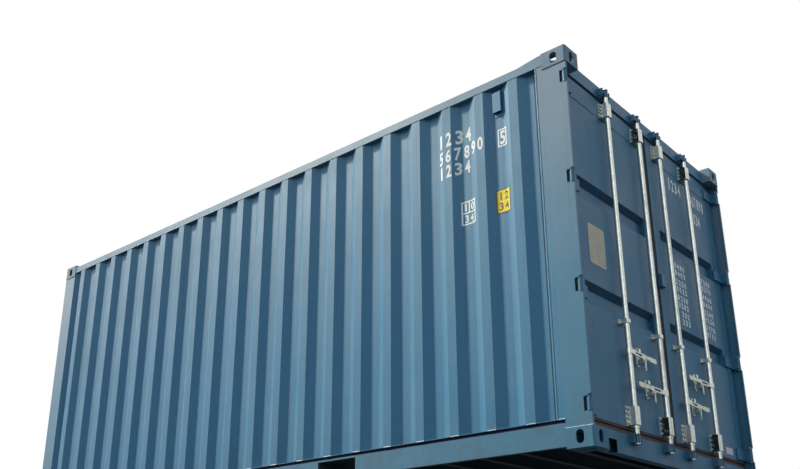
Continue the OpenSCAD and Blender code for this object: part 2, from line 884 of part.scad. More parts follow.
// Flat handle on the pin of its fork, slotted in the middle, with a thin grip
module handle(y, z, dir) {
    color(zinc)
    translate([bar_x, y, z])
        difference() {
            union() {
                translate([0, dir * hub_y, 0])
                    rotate([0, 90, 0])
                        cylinder(r = handle_h / 2, h = handle_t, center = true);
                translate([0, dir * (hub_y + handle_l - 90) / 2, 0])
                    cube([handle_t, handle_l - 90 - hub_y, handle_h], center = true);
                translate([0, dir * (catch_y - 52), 0])
                    cube([handle_t, 144, handle_mid_h], center = true);
                translate([0, dir * (handle_l - 58), 0])
                    cube([handle_t / 2, 84, handle_mid_h], center = true);
                translate([0, dir * (handle_l - handle_mid_h / 2), 0])
                    rotate([0, 90, 0])
                        cylinder(r = handle_mid_h / 2, h = handle_t / 2, center = true);
            }
            translate([0, dir * (catch_y - 65), 0])
                cube([handle_t + 2, 90, handle_mid_h - 18], center = true);
            translate([0, dir * hub_y, 0])
                rotate([0, 90, 0])
                    cylinder(r = 5 + pin_clear, h = handle_t + 2, center = true);
        }
}

// Catch that swings up in front of a handle, with a hole near its rounded end
module catch(y, z) {
    color(zinc)
    translate([bar_x + 11, y, z - catch_drop])
        rotate([0, 90, 0])
            difference() {
                union() {
                    cylinder(r = 9, h = 5);
                    translate([0, -9, 0])
                        cube([54, 18, 5]);
                    translate([54, 0, 0])
                        cylinder(r = 9, h = 5);
                }
                translate([0, 0, -1])
                    cylinder(r = 4 + pin_clear, h = 7);
                translate([50, 0, -1])
                    cylinder(r = 4.5, h = 7);
            }
}

// Block on the face of the right leaf, clear of the left leaf as that one swings
module edge_block() {
    y = gasket_y0 - gasket_clear;
    z = (recess_z1 + recess_h + recess_z2 - edge_block_h) / 2;
    color(paint)
    block([leaf_x, y, z], [leaf_x + edge_block_t, y + edge_block_w, z + edge_block_h]);
}

// The left side is the mirror image of the right side
module left() {
    mirror([0, 1, 0])
        children();
}

fitting(-1, -1, false);  // fitting_front_left_bottom
fitting(-1, 1, false);  // fitting_front_right_bottom
fitting(1, -1, false);  // fitting_rear_left_bottom
fitting(1, 1, false);  // fitting_rear_right_bottom
fitting(-1, -1, true);  // fitting_front_left_top
fitting(-1, 1, true);  // fitting_front_right_top
fitting(1, -1, true);  // fitting_rear_left_top
fitting(1, 1, true);  // fitting_rear_right_top
left() front_post();  // front_post_left
front_post();  // front_post_right
left() rear_post();  // rear_post_left
rear_post();  // rear_post_right
left() bottom_rail();  // bottom_rail_left
bottom_rail();  // bottom_rail_right
left() top_side_rail();  // top_rail_left
top_side_rail();  // top_rail_right
front_sill();
front_header();
front_wall();
door_sill();
door_header();
left() side_wall();  // side_wall_left
side_wall();  // side_wall_right
roof();
floor_boards();
cross_members();
fork_pocket(-1);  // fork_pocket_front
fork_pocket(1);  // fork_pocket_rear
left() hinge_lugs();  // hinge_lugs_left
hinge_lugs();  // hinge_lugs_right
bar_keepers();
left() vent();  // vent_left
vent();  // vent_right
left() door_frame();  // door_frame_left
union() { door_frame(); edge_block(); }  // door_frame_right
left() door_panel();  // door_panel_left
door_panel();  // door_panel_right
left() door_gasket();  // door_gasket_left
door_gasket();  // door_gasket_right
bar_guides(-1);  // bar_guides_left
bar_guides(1);  // bar_guides_right
locking_bar(-bar_y2, handle_z2, 1);  // bar_1
locking_bar(-bar_y1, handle_z1, -1);  // bar_2
locking_bar(bar_y1, handle_z1, 1);  // bar_3
locking_bar(bar_y2, handle_z2, -1);  // bar_4
handle(-bar_y2, handle_z2, 1);  // handle_1
handle(-bar_y1, handle_z1, -1);  // handle_2
handle(bar_y1, handle_z1, 1);  // handle_3
handle(bar_y2, handle_z2, -1);  // handle_4
catch(-bar_y2 + catch_y, handle_z2);  // catch_1
catch(-bar_y1 - catch_y, handle_z1);  // catch_2
catch(bar_y1 + catch_y, handle_z1);  // catch_3
catch(bar_y2 - catch_y, handle_z2);  // catch_4
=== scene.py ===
import math
import bpy
import bmesh
from mathutils import Matrix, Vector
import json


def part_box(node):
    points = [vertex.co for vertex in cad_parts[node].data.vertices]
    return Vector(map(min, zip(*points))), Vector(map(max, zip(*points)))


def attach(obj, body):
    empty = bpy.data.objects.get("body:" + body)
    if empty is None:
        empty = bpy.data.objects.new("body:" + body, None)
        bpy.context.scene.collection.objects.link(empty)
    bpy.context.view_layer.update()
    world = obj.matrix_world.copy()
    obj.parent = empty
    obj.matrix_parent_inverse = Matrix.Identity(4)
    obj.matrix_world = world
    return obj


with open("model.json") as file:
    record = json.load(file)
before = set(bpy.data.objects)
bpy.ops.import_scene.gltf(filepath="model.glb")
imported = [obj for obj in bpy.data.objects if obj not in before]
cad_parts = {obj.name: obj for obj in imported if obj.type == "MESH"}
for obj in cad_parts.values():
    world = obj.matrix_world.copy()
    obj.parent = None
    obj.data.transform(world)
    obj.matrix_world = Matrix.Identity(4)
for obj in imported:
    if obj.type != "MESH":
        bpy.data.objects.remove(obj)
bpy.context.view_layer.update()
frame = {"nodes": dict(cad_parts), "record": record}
nodes = frame["nodes"]
joints = {j["name"]: j for j in frame["record"]["behaviour"]["joints"]}
print("frame loaded,", len(nodes), "parts")


def linkNew(name, mesh):
    obj = bpy.data.objects.new(name, mesh)
    bpy.context.scene.collection.objects.link(obj)
    return obj


def meshFrom(name, verts, faces, edges=()):
    mesh = bpy.data.meshes.new(name)
    mesh.from_pydata([tuple(v) for v in verts], list(edges), list(faces))
    mesh.update()
    return mesh


def addNode(tree, kind, inputs=None, **settings):
    node = tree.nodes.new(kind)
    for key, value in settings.items():
        setattr(node, key, value)
    for key, value in (inputs or {}).items():
        if isinstance(value, bpy.types.NodeSocket):
            tree.links.new(value, node.inputs[key])
        else:
            node.inputs[key].default_value = value
    return node


def mathNode(tree, operation, a, b=0.0, clamp=False):
    return addNode(tree, "ShaderNodeMath", {0: a, 1: b}, operation=operation, use_clamp=clamp).outputs[0]


def times(tree, a, b, clamp=False):
    return mathNode(tree, "MULTIPLY", a, b, clamp)


def plus(tree, a, b, clamp=False):
    return mathNode(tree, "ADD", a, b, clamp)


def minus(tree, a, b, clamp=False):
    return mathNode(tree, "SUBTRACT", a, b, clamp)


def axisOf(tree, vector, axis):
    return addNode(tree, "ShaderNodeSeparateXYZ", {0: vector}).outputs[axis]


def bandMask(tree, value, low, high):
    band = addNode(tree, "ShaderNodeMath", {0: value, 1: (low + high) / 2, 2: (high - low) / 2},
                   operation="COMPARE")
    return band.outputs[0]


def rampMask(tree, value, low, high):
    node = addNode(tree, "ShaderNodeMapRange", {"Value": value, "From Min": low, "From Max": high})
    node.interpolation_type = "SMOOTHSTEP"
    return node.outputs["Result"]


def mixColour(tree, factor, a, b):
    node = addNode(tree, "ShaderNodeMix", data_type="RGBA")
    for index, value in ((0, factor), (6, a), (7, b)):
        if isinstance(value, bpy.types.NodeSocket):
            tree.links.new(value, node.inputs[index])
        else:
            node.inputs[index].default_value = value
    return node.outputs[2]


def scaledPlace(tree, place, scale):
    return addNode(tree, "ShaderNodeMapping", {"Vector": place, "Scale": scale}).outputs["Vector"]


def noiseMask(tree, place, scale, detail, rough=0.55):
    return addNode(tree, "ShaderNodeTexNoise", {
        "Vector": place, "Scale": scale, "Detail": detail, "Roughness": rough}).outputs["Fac"]


# scale, detail and roughness of the noise, then where the mask starts and where it is full
patterns = {
    "fade": (1.7, 6, 0.55, 0.38, 0.68),
    "mottle": (14, 5, 0.6, 0.45, 0.75),
    "streak": (24, 6, 0.65, 0.52, 0.74),
    "splash": (6, 7, 0.7, 0.35, 0.7),
    "wornPatch": (3.1, 3, 0.55, 0.53, 0.66),
    "chip": (75, 4, 0.7, 0.655, 0.69),
    "stain": (16, 6, 0.65, 0.5, 0.75),
    "guideDirt": (35, 4, 0.55, 0.10, 0.50),
    "gasketDust": (22, 6, 0.7, 0.45, 0.75),
    "scuff": (9, 7, 0.7, 0.55, 0.8),
    "haze": (11, 6, 0.65, 0.4, 0.75),
}


def patternMask(tree, place, kind):
    scale, detail, rough, low, high = patterns[kind]
    return rampMask(tree, noiseMask(tree, place, scale, detail, rough), low, high)


colourSocket, valueSocket, placeSocket = "NodeSocketColor", "NodeSocketFloat", "NodeSocketVector"
finishOutputs = [("Color", colourSocket), ("Roughness", valueSocket), ("Height", valueSocket)]


def shaderGroup(name, inputs):
    tree = bpy.data.node_groups.new(name, "ShaderNodeTree")
    for label, kind, value in inputs:
        socket = tree.interface.new_socket(label, in_out="INPUT", socket_type=kind)
        if value is not None:
            socket.default_value = value
    for label, kind in finishOutputs:
        tree.interface.new_socket(label, in_out="OUTPUT", socket_type=kind)
    return tree, addNode(tree, "NodeGroupInput").outputs, addNode(tree, "NodeGroupOutput").inputs


def giveResult(tree, result, *values):
    for (label, _), value in zip(finishOutputs, values):
        tree.links.new(value, result[label])


wear = {
    "mottleAmount": 0.18, "bleachHeights": (0.9, 2.6), "streakStretch": 0.035, "splashTop": 0.55,
    "dirtRoughness": 0.22, "chipRoughness": 0.3, "chipDepth": 0.5,
    "peelScale": 420, "peelHeight": 0.12, "dentScale": 2.4, "dentHeight": 4.0,
    "rollingScale": 38, "rollingStretch": 0.02,
}


def buildAgedPaint():
    tree, given, result = shaderGroup("agedPaint", [
        ("Place", placeSocket, None),
        ("Paint", colourSocket, (0.2, 0.35, 0.42, 1)),
        ("Faded", colourSocket, (0.3, 0.42, 0.48, 1)),
        ("Grime", colourSocket, (0.12, 0.13, 0.12, 1)),
        ("Rust", colourSocket, (0.16, 0.07, 0.03, 1)),
        ("Fade Amount", valueSocket, 0.5),
        ("Streak Amount", valueSocket, 0.3),
        ("Splash Amount", valueSocket, 0.4),
        ("Chip Amount", valueSocket, 0.5),
        ("Gloss", valueSocket, 0.42),
        ("Rolling Lines", valueSocket, 0.0),
        ("Bleached", colourSocket, (0.19, 0.262, 0.342, 1)),
        ("Bleach Amount", valueSocket, 0.0),
    ])
    place = given["Place"]
    height = axisOf(tree, place, "Z")
    fade = times(tree, patternMask(tree, place, "fade"), given["Fade Amount"])
    colour = mixColour(tree, fade, given["Paint"], given["Faded"])
    mottle = times(tree, patternMask(tree, place, "mottle"), wear["mottleAmount"])
    colour = mixColour(tree, mottle, colour, given["Faded"])
    # painted sheen: the paint is made paler towards the top, standing in for the light it reflects there
    paintedSheen = times(tree, rampMask(tree, height, *wear["bleachHeights"]), given["Bleach Amount"])
    colour = mixColour(tree, paintedSheen, colour, given["Bleached"])
    # rain streaks run straight down, so their pattern is drawn out along Z
    streak = patternMask(tree, scaledPlace(tree, place, (1, 1, wear["streakStretch"])), "streak")
    streak = times(tree, streak, given["Streak Amount"])
    colour = mixColour(tree, streak, colour, given["Grime"])
    # road splash, heaviest at the bottom
    low = minus(tree, 1.0, rampMask(tree, height, 0.0, wear["splashTop"]))
    splash = times(tree, times(tree, low, patternMask(tree, place, "splash")), given["Splash Amount"])
    colour = mixColour(tree, splash, colour, given["Grime"])
    # small chips, only inside scattered worn patches
    chip = times(tree, patternMask(tree, place, "wornPatch"), patternMask(tree, place, "chip"))
    chip = times(tree, chip, given["Chip Amount"], True)
    colour = mixColour(tree, chip, colour, given["Rust"])
    rough = plus(tree, given["Gloss"], times(tree, plus(tree, splash, fade), wear["dirtRoughness"]))
    rough = plus(tree, rough, times(tree, chip, wear["chipRoughness"]), True)
    # orange peel of the paint, slow dents of the sheet and the faint lines of its rolling
    peel = times(tree, noiseMask(tree, place, wear["peelScale"], 2), wear["peelHeight"])
    dents = times(tree, noiseMask(tree, place, wear["dentScale"], 2), wear["dentHeight"])
    rolling = scaledPlace(tree, place, (1, 1, wear["rollingStretch"]))
    rolling = times(tree, noiseMask(tree, rolling, wear["rollingScale"], 3), given["Rolling Lines"])
    relief = plus(tree, plus(tree, peel, dents), rolling)
    relief = minus(tree, relief, times(tree, chip, wear["chipDepth"]))
    giveResult(tree, result, colour, rough, relief)
    return tree


spangle = {
    "toneAmount": 0.6, "stainStretch": 0.15, "roughness": 0.28, "toneRoughness": 0.14,
    "stainRoughness": 0.3, "grainScale": 160, "grainHeight": 0.3,
}


def buildSpangle():
    tree, given, result = shaderGroup("zincSpangle", [
        ("Place", placeSocket, None),
        ("Light Zinc", colourSocket, (0.6, 0.63, 0.6, 1)),
        ("Dark Zinc", colourSocket, (0.42, 0.45, 0.43, 1)),
        ("Grime", colourSocket, (0.16, 0.13, 0.1, 1)),
        ("Crystal Scale", valueSocket, 70.0),
        ("Grime Amount", valueSocket, 0.5),
    ])
    place = given["Place"]
    crystal = addNode(tree, "ShaderNodeTexVoronoi", {"Vector": place, "Scale": given["Crystal Scale"]})
    tone = axisOf(tree, crystal.outputs["Color"], "X")
    darker = times(tree, tone, spangle["toneAmount"])
    colour = mixColour(tree, darker, given["Light Zinc"], given["Dark Zinc"])
    stain = patternMask(tree, scaledPlace(tree, place, (1, 1, spangle["stainStretch"])), "stain")
    stain = times(tree, stain, given["Grime Amount"])
    colour = mixColour(tree, stain, colour, given["Grime"])
    rough = plus(tree, times(tree, tone, spangle["toneRoughness"]), spangle["roughness"])
    rough = plus(tree, rough, times(tree, stain, spangle["stainRoughness"]), True)
    relief = times(tree, noiseMask(tree, place, spangle["grainScale"], 3), spangle["grainHeight"])
    giveResult(tree, result, colour, rough, relief)
    return tree


agedPaint = buildAgedPaint()
zincSpangle = buildSpangle()


def startMaterial(name):
    material = bpy.data.materials.new(name)
    material.use_nodes = True
    tree = material.node_tree
    place = addNode(tree, "ShaderNodeTexCoord").outputs["Object"]
    return material, tree, tree.nodes["Principled BSDF"], place


def giveRelief(tree, shader, height, distance):
    bump = addNode(tree, "ShaderNodeBump", {"Strength": 1.0, "Distance": distance, "Height": height})
    tree.links.new(bump.outputs["Normal"], shader.inputs["Normal"])


def useGroup(name, group, values, relief=0.001, metallic=0.0, specular=0.5):
    material, tree, shader, place = startMaterial(name)
    node = addNode(tree, "ShaderNodeGroup", {"Place": place, **values}, node_tree=group)
    tree.links.new(node.outputs["Color"], shader.inputs["Base Color"])
    tree.links.new(node.outputs["Roughness"], shader.inputs["Roughness"])
    giveRelief(tree, shader, node.outputs["Height"], relief)
    shader.inputs["Metallic"].default_value = metallic
    shader.inputs["Specular IOR Level"].default_value = specular
    return material


paintColours = {
    "wall": (0.035, 0.180, 0.328, 1),
    "wallFaded": (0.078, 0.218, 0.340, 1),
    "post": (0.054, 0.186, 0.300, 1),
    "door": (0.042, 0.166, 0.290, 1),
    "doorFaded": (0.064, 0.196, 0.315, 1),
    "base": (0.05, 0.07, 0.085, 1),
    "baseFaded": (0.09, 0.11, 0.12, 1),
    "grime": (0.055, 0.085, 0.10, 1),
    "rust": (0.17, 0.075, 0.035, 1),
}
zincColours = {"Light Zinc": (0.80, 0.84, 0.78, 1), "Dark Zinc": (0.62, 0.66, 0.61, 1), "Grime Amount": 0.35}
zincCoat = {"metallic": 0.85, "relief": 0.0003}
# the sixth amount is a painted sheen, paler paint towards the top
wearLabels = (
    "Fade Amount", "Streak Amount", "Splash Amount", "Chip Amount", "Gloss", "Bleach Amount", "Rolling Lines",
)


def weatheredPaint(name, paint, faded, amounts, relief=0.001, specular=0.35):
    # the amounts stand in the order of the labels, and the ones left out are none
    values = {
        "Paint": paintColours[paint], "Faded": paintColours[faded],
        "Grime": paintColours["grime"], "Rust": paintColours["rust"],
    }
    values.update(zip(wearLabels, amounts))
    return useGroup(name, agedPaint, values, relief=relief, specular=specular)


wallPaint = weatheredPaint("wallPaint", "wall", "wallFaded", (0.55, 0.28, 0.35, 0.5, 0.45, 0.0, 0.9))
postPaint = weatheredPaint("postPaint", "post", "wallFaded", (0.45, 0.2, 0.45, 0.8, 0.42, 0.8))
topRailPaint = weatheredPaint("topRailPaint", "post", "wallFaded", (0.45, 0.2, 0.45, 0.8, 0.42, 0.4))
fittingPaint = weatheredPaint(
    "fittingPaint", "post", "wallFaded", (0.3, 0.35, 0.3, 1.0, 0.55, 0.8), relief=0.002, specular=0.3)
doorPaint = weatheredPaint("doorPaint", "door", "doorFaded", (0.6, 0.3, 0.35, 0.4, 0.42))
basePaint = weatheredPaint(
    "basePaint", "base", "baseFaded", (0.7, 0.2, 0.6, 1.0, 0.7), relief=0.002, specular=0.2)
markPaint = useGroup("markPaint", agedPaint, {
    "Paint": (0.88, 0.90, 0.90, 1), "Faded": (0.80, 0.83, 0.84, 1), "Grime": (0.55, 0.58, 0.60, 1),
    "Rust": (0.45, 0.52, 0.58, 1), "Fade Amount": 0.4, "Streak Amount": 0.25, "Splash Amount": 0.0,
    "Chip Amount": 0.5, "Gloss": 0.5}, relief=0.0003)
zincMetal = useGroup("zincMetal", zincSpangle, zincColours, **zincCoat)
handleMetal = useGroup("handleMetal", zincSpangle, {
    "Light Zinc": (0.66, 0.70, 0.62, 1), "Dark Zinc": (0.46, 0.50, 0.45, 1), "Grime Amount": 0.6},
    relief=0.0003, metallic=0.8)
boltMetal = useGroup("boltMetal", zincSpangle, {
    "Light Zinc": (0.72, 0.74, 0.70, 1), "Dark Zinc": (0.46, 0.48, 0.46, 1),
    "Crystal Scale": 160.0, "Grime Amount": 0.5}, relief=0.0004, metallic=0.6)


def variantOf(base, name):
    # a copy of a finish, with the nodes that one more mask is joined to
    material = base.copy()
    material.name = name
    tree = material.node_tree
    finish = next(node for node in tree.nodes if node.type == "GROUP")
    place = next(node for node in tree.nodes if node.type == "TEX_COORD").outputs["Object"]
    return material, tree, tree.nodes["Principled BSDF"], finish, place


def tint(tree, shader, mask, finish, tone):
    tree.links.new(mixColour(tree, mask, finish.outputs["Color"], tone), shader.inputs["Base Color"])


paintedEnds = {"heights": ((0.093, 0.150), (2.479, 2.536)), "tone": (0.030, 0.110, 0.20, 1)}


def makeBarMetal():
    # galvanised like the rest, with the cams at both ends in the paint of the doors
    material, tree, shader, finish, place = variantOf(zincMetal, "barMetal")
    height = axisOf(tree, place, "Z")
    ends = 0.0
    for low, high in paintedEnds["heights"]:
        ends = plus(tree, bandMask(tree, height, low, high), ends)
    tint(tree, shader, ends, finish, paintedEnds["tone"])
    bare = minus(tree, 1.0, ends, True)
    tree.links.new(times(tree, bare, zincCoat["metallic"]), shader.inputs["Metallic"])
    return material


barNumbers = {"Left": (1, 2), "Right": (3, 4)}
# a narrow band of painted shade on each side of a guide cover
guideDirt = {"cover": 0.028, "width": 0.006, "tone": (0.030, 0.040, 0.042, 1)}


def makeGuideMetal():
    # painted shade in the crease where the pressed cover of each guide meets its plate, broken up by noise
    material, tree, shader, finish, place = variantOf(zincMetal, "guideMetal")
    across = axisOf(tree, place, "Y")
    inner, outer = guideDirt["cover"], guideDirt["cover"] + guideDirt["width"]
    creaseShade = 0.0
    for number in barNumbers["Left"] + barNumbers["Right"]:
        y = joints[f"bar_{number}_turn"]["pos_m"][1]
        for low, high in ((y - outer, y - inner), (y + inner, y + outer)):
            creaseShade = plus(tree, bandMask(tree, across, low, high), creaseShade, True)
    creaseShade = times(tree, creaseShade, patternMask(tree, place, "guideDirt"))
    tint(tree, shader, creaseShade, finish, guideDirt["tone"])
    return material


# where and how dark the painted shade in the hinge hollow is
hingeHollowShade = {"beyond": 1.196, "behind": 2.992, "tone": (0.012, 0.018, 0.026, 1)}


def makeLeafPaint():
    # the paint of the doors, with black painted shade on the hinge blades behind their knuckles, in the
    # hollow of the post
    material, tree, shader, finish, place = variantOf(doorPaint, "leafPaint")
    aside = mathNode(tree, "ABSOLUTE", axisOf(tree, place, "Y"))
    onBlade = mathNode(tree, "GREATER_THAN", aside, hingeHollowShade["beyond"])
    behind = mathNode(tree, "LESS_THAN", axisOf(tree, place, "X"), hingeHollowShade["behind"])
    tint(tree, shader, times(tree, onBlade, behind), finish, hingeHollowShade["tone"])
    return material


recessShade = {"start": 0.2, "end": 0.6, "amount": 0.45, "tone": (0.010, 0.012, 0.030, 1)}


def makePanelPaint():
    # painted shade: the slopes of the recesses that look down are made darker
    material, tree, shader, finish, _ = variantOf(doorPaint, "panelPaint")
    normal = addNode(tree, "ShaderNodeNewGeometry").outputs["Normal"]
    down = times(tree, axisOf(tree, normal, "Z"), -1.0)
    under = rampMask(tree, down, recessShade["start"], recessShade["end"])
    tint(tree, shader, times(tree, under, recessShade["amount"]), finish, recessShade["tone"])
    return material


def wallProfile(node, side):
    # the outer line of the bent sheet, read off the lower edge of the wall
    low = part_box(node)[0].z
    outer = {}
    for vertex in nodes[node].data.vertices:
        if abs(vertex.co.z - low) < 1e-4:
            x, y = round(vertex.co.x, 4), vertex.co.y * side
            outer[x] = max(outer.get(x, y), y)
    return sorted(outer.items())


wallSheen = {"sheet": 0.12, "strip": 0.68}


def makeSideWallPaint():
    # the flat strip beside the rear post gets as much painted sheen towards the top as the post
    material, tree, _, finish, place = variantOf(wallPaint, "sideWallPaint")
    stripStart = wallProfile("side_wall_left", -1)[-2][0]
    strip = mathNode(tree, "GREATER_THAN", axisOf(tree, place, "X"), stripStart)
    amount = plus(tree, times(tree, strip, wallSheen["strip"]), wallSheen["sheet"])
    tree.links.new(amount, finish.inputs["Bleach Amount"])
    return material


railShade = {"width": 0.019, "below": 0.004, "tone": (0.004, 0.005, 0.030, 1), "roughness": 0.5}


def makeRailPaint():
    # painted shadow: a dark, rougher band on the rail under the lower edge of the wall
    material, tree, shader, finish, place = variantOf(postPaint, "railPaint")
    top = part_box("bottom_rail_right")[1].z - railShade["below"]
    shade = bandMask(tree, axisOf(tree, place, "Z"), top - railShade["width"], top)
    tint(tree, shader, shade, finish, railShade["tone"])
    rough = plus(tree, finish.outputs["Roughness"], times(tree, shade, railShade["roughness"]), True)
    tree.links.new(rough, shader.inputs["Roughness"])
    return material


floorWood = {
    "light": (0.42, 0.27, 0.15, 1), "dark": (0.33, 0.21, 0.12, 1), "grain": (0.23, 0.14, 0.075, 1),
    "joint": (0.03, 0.02, 0.012, 1), "scuff": (0.42, 0.36, 0.28, 1),
    "jointWidth": 0.003, "boardLength": 1.2, "boardWidth": 0.58,
    "grainStretch": (1.2, 26, 26), "grainNoise": (3.2, 8, 0.62), "grainEdge": (0.35, 0.7),
    "scuffAmount": 0.5, "roughness": 0.5, "scuffRoughness": 0.2, "relief": 0.001,
}


def makeFloorWood():
    material, tree, shader, place = startMaterial("floorWood")
    grain = noiseMask(tree, scaledPlace(tree, place, floorWood["grainStretch"]), *floorWood["grainNoise"])
    boards = addNode(tree, "ShaderNodeTexBrick", {
        "Vector": place, "Color1": floorWood["light"], "Color2": floorWood["dark"],
        "Mortar": floorWood["joint"], "Scale": 1.0, "Mortar Size": floorWood["jointWidth"],
        "Brick Width": floorWood["boardLength"], "Row Height": floorWood["boardWidth"]})
    grainTone = rampMask(tree, grain, *floorWood["grainEdge"])
    colour = mixColour(tree, grainTone, boards.outputs["Color"], floorWood["grain"])
    scuff = patternMask(tree, place, "scuff")
    colour = mixColour(tree, times(tree, scuff, floorWood["scuffAmount"]), colour, floorWood["scuff"])
    tree.links.new(colour, shader.inputs["Base Color"])
    rough = plus(tree, times(tree, scuff, floorWood["scuffRoughness"]), floorWood["roughness"])
    tree.links.new(rough, shader.inputs["Roughness"])
    giveRelief(tree, shader, minus(tree, grain, boards.outputs["Fac"]), floorWood["relief"])
    return material


# clean colour, dusty colour, roughness, then where they differ pattern, amount, grain scale and relief
dustyTones = {
    # a pale weld on the ledges, painted lighter still as a highlight
    "ledgeEdge": ((0.46, 0.58, 0.64, 1), (0.26, 0.40, 0.48, 1), 0.35),
    # the bead on the edge of the flat strip, painted brighter than the wall as a highlight
    "wallEdge": ((0.12, 0.27, 0.38, 1), (0.08, 0.21, 0.33, 1), 0.35),
    "creamPlate": ((0.52, 0.47, 0.355, 1), (0.37, 0.34, 0.27, 1), 0.45),
    "yellowPanel": ((1.0, 0.74, 0.0, 1), (0.90, 0.64, 0.01, 1), 0.6),
    # dark sealant, painted darker as the shade in the corner beside the flat strip
    "darkSealant": ((0.050, 0.130, 0.180, 1), (0.080, 0.170, 0.220, 1), 0.6),
    "darkInk": ((0.055, 0.060, 0.055, 1), (0.11, 0.11, 0.10, 1), 0.55),
    "paleSticker": ((0.62, 0.55, 0.62, 1), (0.48, 0.44, 0.50, 1), 0.45),
    "gasketRubber": (
        (0.070, 0.045, 0.045, 1), (0.150, 0.110, 0.110, 1), 0.62, "gasketDust", 0.6, 260, 0.0006),
}
dustRoughness = 0.2


def makeDusty(name, clean, dusty, roughness, pattern="haze", amount=0.7, grain=60, relief=0.0005):
    material, tree, shader, place = startMaterial(name)
    dust = patternMask(tree, place, pattern)
    tree.links.new(mixColour(tree, times(tree, dust, amount), clean, dusty), shader.inputs["Base Color"])
    tree.links.new(plus(tree, times(tree, dust, dustRoughness), roughness), shader.inputs["Roughness"])
    giveRelief(tree, shader, noiseMask(tree, place, grain, 3), relief)
    return material


dustyFinish = {name: makeDusty(name, *values) for name, values in dustyTones.items()}

# the first entry that a part's name starts with holds
nodeMaterials = {
    "rear_post": postPaint, "front_post": postPaint, "front_sill": postPaint, "front_header": postPaint,
    "bottom_rail": makeRailPaint(), "top_rail": topRailPaint, "side_wall": makeSideWallPaint(),
    "fitting": fittingPaint, "hinge_lugs": fittingPaint,
    "door_frame": makeLeafPaint(), "door_panel": makePanelPaint(),
    "door_gasket": dustyFinish["gasketRubber"], "door_": doorPaint,
    "bar_keepers": doorPaint, "bar_guides": makeGuideMetal(), "bar_": makeBarMetal(),
    "handle": handleMetal, "catch": handleMetal,
    "floor": makeFloorWood(), "cross": basePaint, "fork": basePaint,
}
for name, obj in nodes.items():
    chosen = next((material for key, material in nodeMaterials.items() if name.startswith(key)), wallPaint)
    obj.data.materials.clear()
    obj.data.materials.append(chosen)
print("materials given")

glyphs = {"thicken": 0.03, "resolution": 3, "oneWidth": 0.45, "cellFill": 0.66}


def glyphMesh(text):
    curve = bpy.data.curves.new("glyph", "FONT")
    curve.body, curve.size = text, 1.0
    curve.offset, curve.resolution_u = glyphs["thicken"], glyphs["resolution"]
    obj = linkNew("glyph", curve)
    shape = bpy.data.meshes.new_from_object(obj.evaluated_get(bpy.context.evaluated_depsgraph_get()))
    bpy.data.objects.remove(obj)
    return shape


def addGlyph(bm, text, left, right, low, high):
    shape = glyphMesh(text)
    xs = [v.co.x for v in shape.vertices]
    ys = [v.co.y for v in shape.vertices]
    wide, tall = max(xs) - min(xs), max(ys) - min(ys)
    room = (right - left) * (glyphs["oneWidth"] if text == "1" else 1.0)
    middle = (left + right) / 2
    made = [bm.verts.new((middle + ((v.co.x - min(xs)) / wide - 0.5) * room,
                          low + (v.co.y - min(ys)) / tall * (high - low), 0)) for v in shape.vertices]
    for face in shape.polygons:
        bm.faces.new([made[i] for i in face.vertices])
    bpy.data.meshes.remove(shape)


def addRow(bm, text, left, right, low, high):
    fill = glyphs["cellFill"]
    cell = (right - left) / (len(text) - 1 + fill)
    for i, digit in enumerate(text):
        addGlyph(bm, digit, left + i * cell, left + (i + fill) * cell, low, high)


def addBar(bm, left, right, low, high):
    corners = ((left, low, 0), (right, low, 0), (right, high, 0), (left, high, 0))
    bm.faces.new([bm.verts.new(corner) for corner in corners])


def addOutline(bm, left, right, low, high, line):
    addBar(bm, left, right, high - line, high)
    addBar(bm, left, right, low, low + line)
    addBar(bm, left, left + line, low + line, high - line)
    addBar(bm, right - line, right, low + line, high - line)


# how far a coat starts off the face under it, and how thick it is
coats = {"marks": (0.0004, 0.0006), "panel": (0.0004, 0.0008), "ink": (0.0014, 0.0003)}


def finishMark(bm, name, body, material, coat="marks"):
    bmesh.ops.remove_doubles(bm, verts=bm.verts, dist=1e-6)
    mesh = bpy.data.meshes.new(name)
    bm.to_mesh(mesh)
    bm.free()
    obj = linkNew(name, mesh)
    solid = obj.modifiers.new("coat", "SOLIDIFY")
    solid.thickness, solid.offset = coats[coat][1], 1.0
    obj.data.materials.append(material)
    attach(obj, body)


def profileAt(profile, x):
    for (x0, y0), (x1, y1) in zip(profile, profile[1:]):
        if x0 <= x <= x1:
            return y0 + (y1 - y0) * (x - x0) / (x1 - x0)
    return profile[0][1]


def bendToWall(bm, node, side, coat):
    # drawn flat as it is read from outside, then folded along the corrugation
    profile = wallProfile(node, side)
    for x, _ in profile:
        geometry = bm.verts[:] + bm.edges[:] + bm.faces[:]
        bmesh.ops.bisect_plane(bm, geom=geometry, plane_co=(-x * side, 0, 0), plane_no=(1, 0, 0))
    for vertex in bm.verts:
        x = -vertex.co.x * side
        vertex.co = (x, (profileAt(profile, x) + coats[coat][0]) * side, vertex.co.y)
    bm.normal_update()
    for face in bm.faces:
        if face.normal.y * side < 0:
            face.normal_flip()


sideMarks = {
    "rows": [("1234", 1.977, 2.246, 2.196, 2.323), ("567890", 1.977, 2.363, 2.073, 2.190),
             ("1234", 1.977, 2.230, 1.958, 2.073)],
    "rowGap": 0.018,
    "boxed": ("5", 2.462, 2.539, 2.057, 2.190),
    "boxedMargin": (0.018, 0.016),
    "box": (2.147, 2.270, 1.578, 1.751),
    "boxText": ("1", "0", "34"),
    "boxMargin": {
        "left": 0.014, "right": 0.016, "centre": 0.012, "middle": 0.014, "edge": 0.016, "row": 0.026},
    "panel": (2.431, 2.548, 1.578, 1.748),
    "panelText": ("12", "34"),
    "panelMargin": 0.020,
    "panelLine": 0.007,
    "line": 0.010,
}


